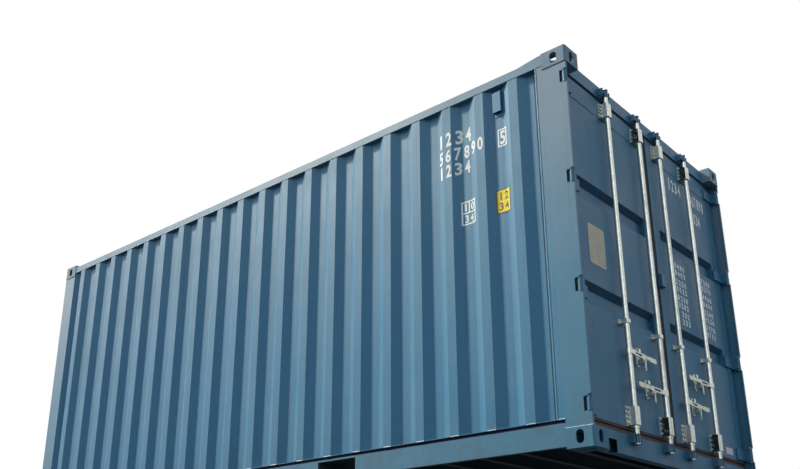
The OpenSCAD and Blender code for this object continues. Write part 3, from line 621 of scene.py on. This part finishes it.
def drawBoxedDigits(marks):
    # one digit in a frame, and a frame with two cells over one
    line = sideMarks["line"]
    text, left, right, low, high = sideMarks["boxed"]
    across, along = sideMarks["boxedMargin"]
    addOutline(marks, left, right, low, high, line)
    addGlyph(marks, text, left + across, right - across, low + along, high - along)
    left, right, low, high = sideMarks["box"]
    centre, middle = (left + right) / 2, (low + high) / 2
    addOutline(marks, left, right, low, high, line)
    addBar(marks, left + line, right - line, middle - line / 2, middle + line / 2)
    addBar(marks, centre - line / 2, centre + line / 2, middle + line / 2, high - line)
    margin = sideMarks["boxMargin"]
    foot, top = middle + margin["middle"], high - margin["edge"]
    first, second, below = sideMarks["boxText"]
    addGlyph(marks, first, left + margin["left"], centre - margin["centre"], foot, top)
    addGlyph(marks, second, centre + margin["centre"], right - margin["right"], foot, top)
    foot, top = low + margin["edge"], middle - margin["middle"]
    addRow(marks, below, left + margin["row"], right - margin["row"], foot, top)


def buildSideMarks(suffix, side):
    node = "side_wall_" + suffix.lower()
    marks = bmesh.new()
    for text, left, right, low, high in sideMarks["rows"]:
        addRow(marks, text, left, right, low, high - sideMarks["rowGap"])
    drawBoxedDigits(marks)
    bendToWall(marks, node, side, "marks")
    finishMark(marks, "sideMarks" + suffix, "box", markPaint)

    left, right, low, high = sideMarks["panel"]
    panel = bmesh.new()
    addBar(panel, left, right, low, high)
    bendToWall(panel, node, side, "panel")
    finishMark(panel, "yellowPanel" + suffix, "box", dustyFinish["yellowPanel"], "panel")
    border = bmesh.new()
    line, margin, middle = sideMarks["panelLine"], sideMarks["panelMargin"], (low + high) / 2
    addOutline(border, left, right, low, high, line)
    rows = ((middle + line, high - margin), (low + margin, middle - line))
    for word, (foot, top) in zip(sideMarks["panelText"], rows):
        addRow(border, word, left + margin, right - margin, foot, top)
    bendToWall(border, node, side, "ink")
    finishMark(border, "yellowPanelEdge" + suffix, "box", dustyFinish["darkInk"], "ink")


buildSideMarks("Left", -1)
buildSideMarks("Right", 1)

doorMarks = {
    "rows": [("1234", 0.371, 0.586, 2.171, 2.271), ("567890", 0.757, 1.014, 2.171, 2.271),
             ("1034", 0.743, 0.914, 2.014, 2.114)],
    "table": [(1.457, 1.557), (1.329, 1.429), (1.207, 1.307), (1.086, 1.186)],
    "columns": ((0.271, 0.486), (0.743, 0.943)),
    "tableText": [("30480", "67200"), ("2250", "4960"), ("28230", "62240"), ("332", "1170")],
    "digits": 5,
    "halfGap": 0.006,
}


def buildDoorMarks(x):
    marks = bmesh.new()
    for text, left, right, low, high in doorMarks["rows"]:
        addRow(marks, text, left, right, low, high)
    for (low, high), words in zip(doorMarks["table"], doorMarks["tableText"]):
        foot, top = (low + high) / 2 - doorMarks["halfGap"], (low + high) / 2 + doorMarks["halfGap"]
        for (left, right), text in zip(doorMarks["columns"], words):
            start = right - (right - left) / doorMarks["digits"] * len(text)
            addRow(marks, text, start, right, top, high)
            addRow(marks, text[::-1], start, right, low, foot)
    for vertex in marks.verts:
        vertex.co = (x, vertex.co.x, vertex.co.y)
    marks.normal_update()
    for face in marks.faces:
        if face.normal.x < 0:
            face.normal_flip()
    finishMark(marks, "doorMarks", "door_right", markPaint)


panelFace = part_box("door_panel_right")[1].x
buildDoorMarks(panelFace + coats["marks"][0])
print("marks painted")

plateCorner = {"steps": 5, "bevelShare": 0.3, "bevelSegments": 2}


def roundedPlate(name, body, face, left, right, low, high, radius, thickness):
    corners = ((right - radius, high - radius, 0), (left + radius, high - radius, 90),
               (left + radius, low + radius, 180), (right - radius, low + radius, 270))
    ring = []
    for cy, cz, start in corners:
        for i in range(plateCorner["steps"] + 1):
            angle = math.radians(start + 90 * i / plateCorner["steps"])
            ring.append((face, cy + radius * math.cos(angle), cz + radius * math.sin(angle)))
    obj = linkNew(name, meshFrom(name, ring, [range(len(ring))]))
    solid = obj.modifiers.new("plate", "SOLIDIFY")
    solid.thickness, solid.offset = thickness, 1.0
    bevel = obj.modifiers.new("edge", "BEVEL")
    bevel.width, bevel.limit_method = thickness * plateCorner["bevelShare"], "ANGLE"
    bevel.segments = plateCorner["bevelSegments"]
    obj.data.materials.append(dustyFinish[name])
    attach(obj, body)


# left, right, low, high, corner radius and thickness
plates = {
    "cream": (-0.957, -0.750, 1.179, 1.450, 0.022, 0.0016),
    "sticker": (0.857, 0.986, 0.221, 0.271, 0.004, 0.0006),
}
panelStep = 0.003    # how far the panel of a leaf stands in from its frame
leafPlane = panelFace + panelStep
plateLift = 0.0002
roundedPlate("creamPlate", "door_left", panelFace + plateLift, *plates["cream"])
roundedPlate("paleSticker", "door_right", leafPlane + plateLift, *plates["sticker"])
print("plates fixed")


def geometryTree(name, inputs):
    tree = bpy.data.node_groups.new(name, "GeometryNodeTree")
    tree.interface.new_socket("Geometry", in_out="INPUT", socket_type="NodeSocketGeometry")
    for label, kind, value in inputs:
        socket = tree.interface.new_socket(label, in_out="INPUT", socket_type=kind)
        if value is not None:
            socket.default_value = value
    tree.interface.new_socket("Geometry", in_out="OUTPUT", socket_type="NodeSocketGeometry")
    return tree, addNode(tree, "NodeGroupInput").outputs, addNode(tree, "NodeGroupOutput").inputs


def endTree(tree, given, result, geometry):
    real = addNode(tree, "GeometryNodeRealizeInstances", {0: geometry}).outputs[0]
    painted = addNode(tree, "GeometryNodeSetMaterial", {"Geometry": real, "Material": given["Material"]})
    tree.links.new(painted.outputs[0], result[0])
    return tree


headShape = {"washerSides": 14, "largestSpin": 1.05}


def buildBoltTree():
    tree, given, result = geometryTree("boltHeads", [
        ("Head Radius", valueSocket, 0.009), ("Head Height", valueSocket, 0.007),
        ("Washer Radius", valueSocket, 0.013), ("Washer Height", valueSocket, 0.002),
        ("Sides", "NodeSocketInt", 6), ("Seed", "NodeSocketInt", 3),
        ("Material", "NodeSocketMaterial", None)])

    def disc(sides, radius, height, lift):
        drum = addNode(tree, "GeometryNodeMeshCylinder", {
            "Vertices": sides, "Radius": radius, "Depth": height}).outputs["Mesh"]
        up = addNode(tree, "ShaderNodeCombineXYZ", {"Z": lift}).outputs[0]
        return addNode(tree, "GeometryNodeTransform", {"Geometry": drum, "Translation": up}).outputs[0]

    washerHeight, headHeight = given["Washer Height"], given["Head Height"]
    headLift = plus(tree, washerHeight, times(tree, headHeight, 0.5))
    washerLift = times(tree, washerHeight, 0.5)
    washer = disc(headShape["washerSides"], given["Washer Radius"], washerHeight, washerLift)
    head = disc(given["Sides"], given["Head Radius"], headHeight, headLift)
    both = addNode(tree, "GeometryNodeJoinGeometry")
    for shape in (washer, head):
        tree.links.new(shape, both.inputs[0])
    facing = addNode(tree, "GeometryNodeInputNamedAttribute", {
        "Name": "facing"}, data_type="FLOAT_VECTOR").outputs["Attribute"]
    aim = addNode(tree, "FunctionNodeAlignRotationToVector", {"Vector": facing}, axis="Z")
    spin = addNode(tree, "FunctionNodeRandomValue", {
        2: 0.0, 3: headShape["largestSpin"], "Seed": given["Seed"]}, data_type="FLOAT")
    turn = addNode(tree, "FunctionNodeAxisAngleToRotation", {"Axis": (0, 0, 1), "Angle": spin.outputs[1]})
    rotation = addNode(tree, "FunctionNodeRotateRotation", {
        0: aim.outputs[0], 1: turn.outputs[0]}, rotation_space="LOCAL").outputs[0]
    placed = addNode(tree, "GeometryNodeInstanceOnPoints", {
        "Points": given["Geometry"], "Instance": both.outputs[0], "Rotation": rotation}).outputs[0]
    return endTree(tree, given, result, placed)


def buildBeadTree():
    tree, given, result = geometryTree("weldBead", [
        ("Bead Radius", valueSocket, 0.004), ("Ripple", valueSocket, 0.014),
        ("Unevenness", valueSocket, 0.3), ("Seed", "NodeSocketInt", 5), ("Sides", "NodeSocketInt", 6),
        ("Material", "NodeSocketMaterial", None)])
    line = addNode(tree, "GeometryNodeMeshToCurve", {"Mesh": given["Geometry"]}).outputs[0]
    cut = addNode(tree, "GeometryNodeResampleCurve", {
        "Curve": line, "Length": given["Ripple"]}, mode="LENGTH")
    uneven = addNode(tree, "FunctionNodeRandomValue", {
        2: minus(tree, 1.0, given["Unevenness"]), 3: 1.0, "Seed": given["Seed"]}, data_type="FLOAT")
    scaled = times(tree, uneven.outputs[1], given["Bead Radius"])
    profile = addNode(tree, "GeometryNodeCurvePrimitiveCircle", {"Resolution": given["Sides"], "Radius": 1.0})
    sized = addNode(tree, "GeometryNodeSetCurveRadius", {"Curve": cut.outputs[0], "Radius": scaled})
    swept = addNode(tree, "GeometryNodeCurveToMesh", {
        "Curve": sized.outputs[0], "Profile Curve": profile.outputs[0], "Fill Caps": True})
    if "Scale" in swept.inputs:
        tree.links.new(scaled, swept.inputs["Scale"])
    return endTree(tree, given, result, swept.outputs[0])


boltHeads = buildBoltTree()
weldBead = buildBeadTree()


def growPiece(name, tree, values, verts, body, edges=(), facing=None):
    source = linkNew(name + "Seed", meshFrom(name + "Seed", verts, (), edges))
    if facing:
        layer = source.data.attributes.new("facing", "FLOAT_VECTOR", "POINT")
        for item, vector in zip(layer.data, facing):
            item.vector = vector
    modifier = source.modifiers.new("grow", "NODES")
    modifier.node_group = tree
    for item in tree.interface.items_tree:
        if item.in_out == "INPUT" and item.name in values:
            modifier[item.identifier] = values[item.name]
    depsgraph = bpy.context.evaluated_depsgraph_get()
    mesh = bpy.data.meshes.new_from_object(source.evaluated_get(depsgraph), depsgraph=depsgraph)
    bpy.data.objects.remove(source)
    piece = linkNew(name, mesh)
    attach(piece, body)


headSizes = {
    "guide": {"Head Radius": 0.0075, "Head Height": 0.007, "Washer Radius": 0.0095, "Washer Height": 0.002},
    "small": {"Head Radius": 0.0045, "Head Height": 0.004, "Washer Radius": 0.0058, "Washer Height": 0.0012},
    "rivet": {"Head Radius": 0.0035, "Head Height": 0.0015, "Washer Radius": 0.005, "Washer Height": 0.0006,
              "Sides": 12},
    "pin": {"Head Radius": 0.0085, "Head Height": 0.003, "Washer Radius": 0.011, "Washer Height": 0.0015,
            "Sides": 14},
    "screw": {"Head Radius": 0.003, "Head Height": 0.0004, "Washer Radius": 0.006, "Washer Height": 0.0012},
}
outward, upward, downward = (1, 0, 0), (0, 0, 1), (0, 0, -1)


def growHeads(name, kind, places, body, facing):
    values = {**headSizes[kind], "Material": boltMetal}
    growPiece(name, boltHeads, values, places, body, facing=facing)


bolting = {
    "plateThickness": 0.005, "rows": 4, "offset": 0.040,
    "upperPlate": (2.318, 2.430), "lowerPlate": (0.199, 0.323), "middlePlate": (0.846, 0.880),
    "middleOffset": 0.031, "middleStep": 0.009,
    "keeperLow": (0.012, -0.050), "keeperHigh": (0.015, 0.028),
}


def boltPlaces(numbers):
    # four bolts down each side of a guide, two beside a middle guide, four round a handle keeper
    big, small = [], []
    frameFace = leafPlane + bolting["plateThickness"]
    sheetFace = panelFace + bolting["plateThickness"]
    for number in numbers:
        y = joints[f"bar_{number}_turn"]["pos_m"][1]
        keeperY = joints[f"catch_{number}_swing"]["pos_m"][1]
        handleZ = joints[f"handle_{number}_lift"]["pos_m"][2]
        for side in (-1, 1):
            for low, high in (bolting["upperPlate"], bolting["lowerPlate"]):
                step = (high - low) / bolting["rows"]
                across = y + side * bolting["offset"]
                big += [(frameFace, across, low + (i + 0.5) * step) for i in range(bolting["rows"])]
            middle = sum(bolting["middlePlate"]) / 2
            for dz in (-bolting["middleStep"], bolting["middleStep"]):
                small.append((sheetFace, y + side * bolting["middleOffset"], middle + dz))
            for dy, dz in (bolting["keeperLow"], bolting["keeperHigh"]):
                small.append((sheetFace, keeperY + side * dy, handleZ + dz))
    return big, small


for suffix, numbers in barNumbers.items():
    body = "door_" + suffix.lower()
    big, small = boltPlaces(numbers)
    growHeads("guideBolts" + suffix, "guide", big, body, [outward] * len(big))
    growHeads("smallBolts" + suffix, "small", small, body, [outward] * len(small))

riveting = {"up": (0.05, 0.95), "across": (0.08, 0.36, 0.64, 0.92), "sideIn": 0.012}


def rivetPlaces():
    # a row along the top and the foot of the cream plate, and one at the middle of each side
    left, right, low, high, _, thickness = plates["cream"]
    x = panelFace + thickness
    places = [(x, left + (right - left) * u, low + (high - low) * v)
              for v in riveting["up"] for u in riveting["across"]]
    sides = (left + riveting["sideIn"], right - riveting["sideIn"])
    return places + [(x, y, (low + high) / 2) for y in sides]


plateRivets = rivetPlaces()
growHeads("plateRivets", "rivet", plateRivets, "door_left", [outward] * len(plateRivets))
lugSpacing = 0.2    # lugs of one hinge are nearer to each other than this


def hingePinPlaces():
    # one head over the upper lug and one under the lower lug of each hinge
    places, facing = [], []
    for side in ("left", "right"):
        pin = joints[f"door_{side}_hinge"]["pos_m"]
        heights = sorted({round(v.co.z, 4) for v in nodes["hinge_lugs_" + side].data.vertices})
        groups = [[heights[0]]]
        for z in heights[1:]:
            if z - groups[-1][0] > lugSpacing:
                groups.append([z])
            groups[-1].append(z)
        for group in groups:
            places += [(pin[0], pin[1], max(group)), (pin[0], pin[1], min(group))]
            facing += [upward, downward]
    return places, facing


pinPlaces, pinFacing = hingePinPlaces()
growHeads("hingePinHeads", "pin", pinPlaces, "box", pinFacing)
floorScrews = {
    "rows": 9, "margin": 0.07, "fromWeb": 0.022, "sunk": 0.0006, "memberGap": 0.05, "topWithin": 0.002,
}


def floorScrewPlaces():
    # a row of countersunk screws over every cross member
    low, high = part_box("floor_boards")
    memberTop = low.z - floorScrews["topWithin"]
    tops = {round(v.co.x, 4) for v in nodes["cross_members"].data.vertices if v.co.z > memberTop}
    starts = []
    for x in sorted(tops):
        if not starts or x - starts[-1] > floorScrews["memberGap"]:
            starts.append(x)
    first, z = low.y + floorScrews["margin"], high.z - floorScrews["sunk"]
    step = (high.y - low.y - 2 * floorScrews["margin"]) / (floorScrews["rows"] - 1)
    return [(x + floorScrews["fromWeb"], first + i * step, z)
            for x in starts for i in range(floorScrews["rows"])]


screwPlaces = floorScrewPlaces()
growHeads("floorScrews", "screw", screwPlaces, "box", [upward] * len(screwPlaces))
print("bolts, rivets and screws made")

sideWalls = {-1: "side_wall_left", 1: "side_wall_right"}
crestBead = {"from": 0.1, "within": 0.002}


def crestFlats(side):
    # the outer flats of the corrugation, where the weld along the rail shows with a painted highlight
    profile = wallProfile(sideWalls[side], side)
    outer = max(y for _, y in profile) - crestBead["within"]
    return [(a[0], b[0]) for a, b in zip(profile, profile[1:]) if min(a[1], b[1]) > outer]


seamTrim = {
    "overWall": 0.001, "underRail": 0.002, "wallEnds": 0.004, "beamFoot": 0.002, "beamTop": 0.004,
    "pocketLip": 0.0045, "headerEnd": 0.03, "railEnds": 0.002,
}


def seamPoints():
    # welded seams on the outside of the box, each a straight line between two points
    verts, edges = [], []
    wallLow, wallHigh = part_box("side_wall_right")
    railLow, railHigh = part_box("bottom_rail_right")
    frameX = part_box("door_header")[1].x
    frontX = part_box("front_sill")[0].x
    lipY = joints["door_right_hinge"]["pos_m"][1]
    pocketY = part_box("fork_pocket_rear")[1].y + seamTrim["pocketLip"]

    def seam(a, b):
        edges.append((len(verts), len(verts) + 1))
        verts.extend((a, b))

    for side in (-1, 1):
        y, ends = side * wallHigh.y, seamTrim["wallEnds"]
        top, ledge = wallHigh.z + seamTrim["overWall"], railHigh.z - seamTrim["underRail"]
        seam((wallLow.x, y, top), (wallHigh.x, y, top))
        for x0, x1 in crestFlats(side):
            seam((x0 + (x1 - x0) * crestBead["from"], y, ledge), (x1, y, ledge))
        seam((wallLow.x, y, wallLow.z + ends), (wallLow.x, y, wallHigh.z - ends))
    for name in nodes:
        if not name.startswith("fitting"):
            continue
        low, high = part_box(name)
        front, left, bottom = "front" in name, "left" in name, "bottom" in name
        side = -1 if left else 1
        z = high.z if bottom else low.z
        inner = high.x if front else low.x
        outerX = frontX if front else -frontX
        seam((inner, side * wallHigh.y, z), (outerX, side * wallHigh.y, z))
        innerY = side * (abs(high.y if left else low.y) if front else lipY)
        seam((outerX, side * wallHigh.y, z), (outerX, innerY, z))
        beamX = frontX if front else frameX
        beamLow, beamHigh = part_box(("front_" if front else "door_") + ("sill" if bottom else "header"))
        beamY = high.y if left else low.y
        foot = max(beamLow.z, low.z) + seamTrim["beamFoot"]
        seam((beamX, beamY, foot), (beamX, beamY, min(beamHigh.z, high.z) - seamTrim["beamTop"]))
        railY = side * (pocketY if bottom else wallHigh.y)
        railFrom, railTo = (railLow.z, high.z) if bottom else (wallHigh.z, high.z - seamTrim["headerEnd"])
        ends = seamTrim["railEnds"]
        seam((inner, railY, railFrom + ends), (inner, railY, railTo - ends))
    return verts, edges


seamVerts, seamEdges = seamPoints()
ledgeTop = 0.5    # level seams below this height lie on a ledge and catch the light
seamRipple = 0.012
# whether the seams lie on a ledge, and the radius and finish of their bead; the bead on a ledge is a pale
# weld painted paler still as a highlight
seamKinds = {
    "boxSeams": (False, 0.0035, postPaint),
    "ledgeSeams": (True, 0.0045, dustyFinish["ledgeEdge"]),
}


def isLedge(a, b):
    return seamVerts[a][2] == seamVerts[b][2] and seamVerts[a][2] < ledgeTop


for name, (onLedge, radius, finish) in seamKinds.items():
    values = {"Bead Radius": radius, "Ripple": seamRipple, "Material": finish}
    chosenEdges = [edge for edge in seamEdges if isLedge(*edge) == onLedge]
    growPiece(name, weldBead, values, seamVerts, "box", edges=chosenEdges)

wallEnd = {"sealantIn": 0.022, "sunk": 0.001, "trim": 0.003}
wallEndKinds = {
    "wallEndSeams": {"Bead Radius": 0.005, "Ripple": 0.016, "Material": dustyFinish["wallEdge"]},
    "wallSealant": {"Bead Radius": 0.0035, "Ripple": 0.03, "Material": dustyFinish["darkSealant"]},
}


def wallEndLines():
    # where the last recess of each side wall meets the flat strip beside the rear post: a bright bead, a
    # painted highlight on the edge, and a dark sealant bead that is also painted shade in the corner
    bright, dark = [], []
    for side, node in sideWalls.items():
        low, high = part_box(node)
        (footX, footY), (edgeX, edgeY) = wallProfile(node, side)[-3:-1]
        for z in (low.z + wallEnd["trim"], high.z - wallEnd["trim"]):
            bright.append((edgeX, side * (edgeY - wallEnd["sunk"]), z))
            dark.append((footX - wallEnd["sealantIn"], side * footY, z))
    return bright, dark


for name, verts, slot in zip(wallEndKinds, wallEndLines(), ("body_paint", "gasket_rubber")):
    growPiece(name, weldBead, wallEndKinds[name], verts, "box", edges=[(0, 1), (2, 3)])
print("seams made")

stage = {"reach": 40.0, "colour": (0.66, 0.66, 0.65, 1), "roughness": 0.8}


def makeStageMaterial():
    # the view is from below, so the floor is there only for the camera and only from above
    material, tree, shader, _ = startMaterial("stageFloor")
    shader.inputs["Base Color"].default_value = stage["colour"]
    shader.inputs["Roughness"].default_value = stage["roughness"]
    lightPath = addNode(tree, "ShaderNodeLightPath")
    geometry = addNode(tree, "ShaderNodeNewGeometry")
    above = minus(tree, 1.0, geometry.outputs["Backfacing"])
    solid = times(tree, lightPath.outputs["Is Camera Ray"], above)
    clear = addNode(tree, "ShaderNodeBsdfTransparent")
    mix = addNode(tree, "ShaderNodeMixShader", {0: solid, 1: clear.outputs[0], 2: shader.outputs[0]})
    tree.links.new(mix.outputs[0], tree.nodes["Material Output"].inputs["Surface"])
    return material


reach = stage["reach"]
stageCorners = [(-reach, -reach, 0), (reach, -reach, 0), (reach, reach, 0), (-reach, reach, 0)]
floor = linkNew("stageFloor", meshFrom("stageFloor", stageCorners, [(0, 1, 2, 3)]))
floor.data.materials.append(makeStageMaterial())

# where each lamp shines from, its strength, its width in degrees and its colour
lamps = {
    "sun": ((-0.70, -0.32, 0.64), 3.6, 5.0, (1.0, 0.94, 0.76)),
    "fill": ((-0.42, 0.84, 0.34), 1.1, 25.0, (1.0, 1.0, 1.0)),
}
daylight = {"colour": (0.78, 0.91, 1.0, 1), "sky": 0.80, "ground": 0.12, "horizon": (-0.15, 0.35)}
# what metal and paint mirror; a lobe is a direction, the cosine where it starts and a strength
mirrored = {
    "sky": 0.85, "ground": 0.05,
    "lobes": [((-0.70, -0.32, 0.64), 0.50, 2.1), ((0.42, -0.86, 0.30), 0.80, 0.9)],
    "lowLobe": ((-0.93, 0.0, 0.36), 0.7, 1.9), "lowHeights": (0.15, 0.36),
}
white = (1, 1, 1, 1)


def setWorld():
    world = bpy.data.worlds.new("studio")
    bpy.context.scene.world = world
    world.use_nodes = True
    tree = world.node_tree
    tree.nodes.clear()
    direction = addNode(tree, "ShaderNodeTexCoord").outputs["Generated"]
    height = axisOf(tree, direction, "Z")
    up = rampMask(tree, height, *daylight["horizon"])

    def lobe(aim, start, strength):
        along = addNode(tree, "ShaderNodeVectorMath", {0: direction, 1: aim}, operation="DOT_PRODUCT")
        return times(tree, rampMask(tree, along.outputs["Value"], start, 1.0), strength)

    def shades(values):
        return plus(tree, times(tree, up, values["sky"] - values["ground"]), values["ground"])

    shine = shades(mirrored)
    for values in mirrored["lobes"]:
        shine = plus(tree, shine, lobe(*values))
    low = times(tree, lobe(*mirrored["lowLobe"]), rampMask(tree, height, *mirrored["lowHeights"]))
    shine = plus(tree, shine, low)

    lightPath = addNode(tree, "ShaderNodeLightPath").outputs
    shiny = mathNode(tree, "MAXIMUM", lightPath["Is Glossy Ray"], lightPath["Is Transmission Ray"])
    sky = addNode(tree, "ShaderNodeBackground", {"Color": daylight["colour"], "Strength": shades(daylight)})
    studio = addNode(tree, "ShaderNodeBackground", {"Color": white, "Strength": shine})
    behind = addNode(tree, "ShaderNodeBackground", {"Color": white, "Strength": 1.0})
    lit = addNode(tree, "ShaderNodeMixShader", {0: shiny, 1: sky.outputs[0], 2: studio.outputs[0]})
    seen = addNode(tree, "ShaderNodeMixShader", {
        0: lightPath["Is Camera Ray"], 1: lit.outputs[0], 2: behind.outputs[0]})
    tree.links.new(seen.outputs[0], addNode(tree, "ShaderNodeOutputWorld").inputs["Surface"])


def setLamps():
    for name, (comesFrom, strength, width, colour) in lamps.items():
        sun = bpy.data.lights.new(name, "SUN")
        sun.energy, sun.angle, sun.color = strength, math.radians(width), colour
        lamp = linkNew(name, sun)
        lamp.rotation_euler = Vector(comesFrom).to_track_quat("Z", "Y").to_euler()


view = {
    "place": (5.4259, -5.6262, -0.8622), "azimuth": 40.777, "elevation": -19.600, "roll": -0.306,
    "lens": 40.373, "sensor": 36.0, "shiftY": 0.07467, "clip": (0.05, 200.0),
}


def setCamera():
    camera = bpy.data.cameras.new("viewCamera")
    camera.sensor_width, camera.lens = view["sensor"], view["lens"]
    camera.shift_y = view["shiftY"]
    camera.clip_start, camera.clip_end = view["clip"]
    obj = linkNew("viewCamera", camera)
    obj.matrix_world = (Matrix.Translation(view["place"])
                        @ Matrix.Rotation(math.radians(view["azimuth"]), 4, "Z")
                        @ Matrix.Rotation(math.radians(90 - view["elevation"]), 4, "X")
                        @ Matrix.Rotation(math.radians(view["roll"]), 4, "Z"))
    bpy.context.scene.camera = obj


setWorld()
setLamps()
setCamera()
bpy.context.scene.view_settings.view_transform = "Standard"
print("light and camera set")
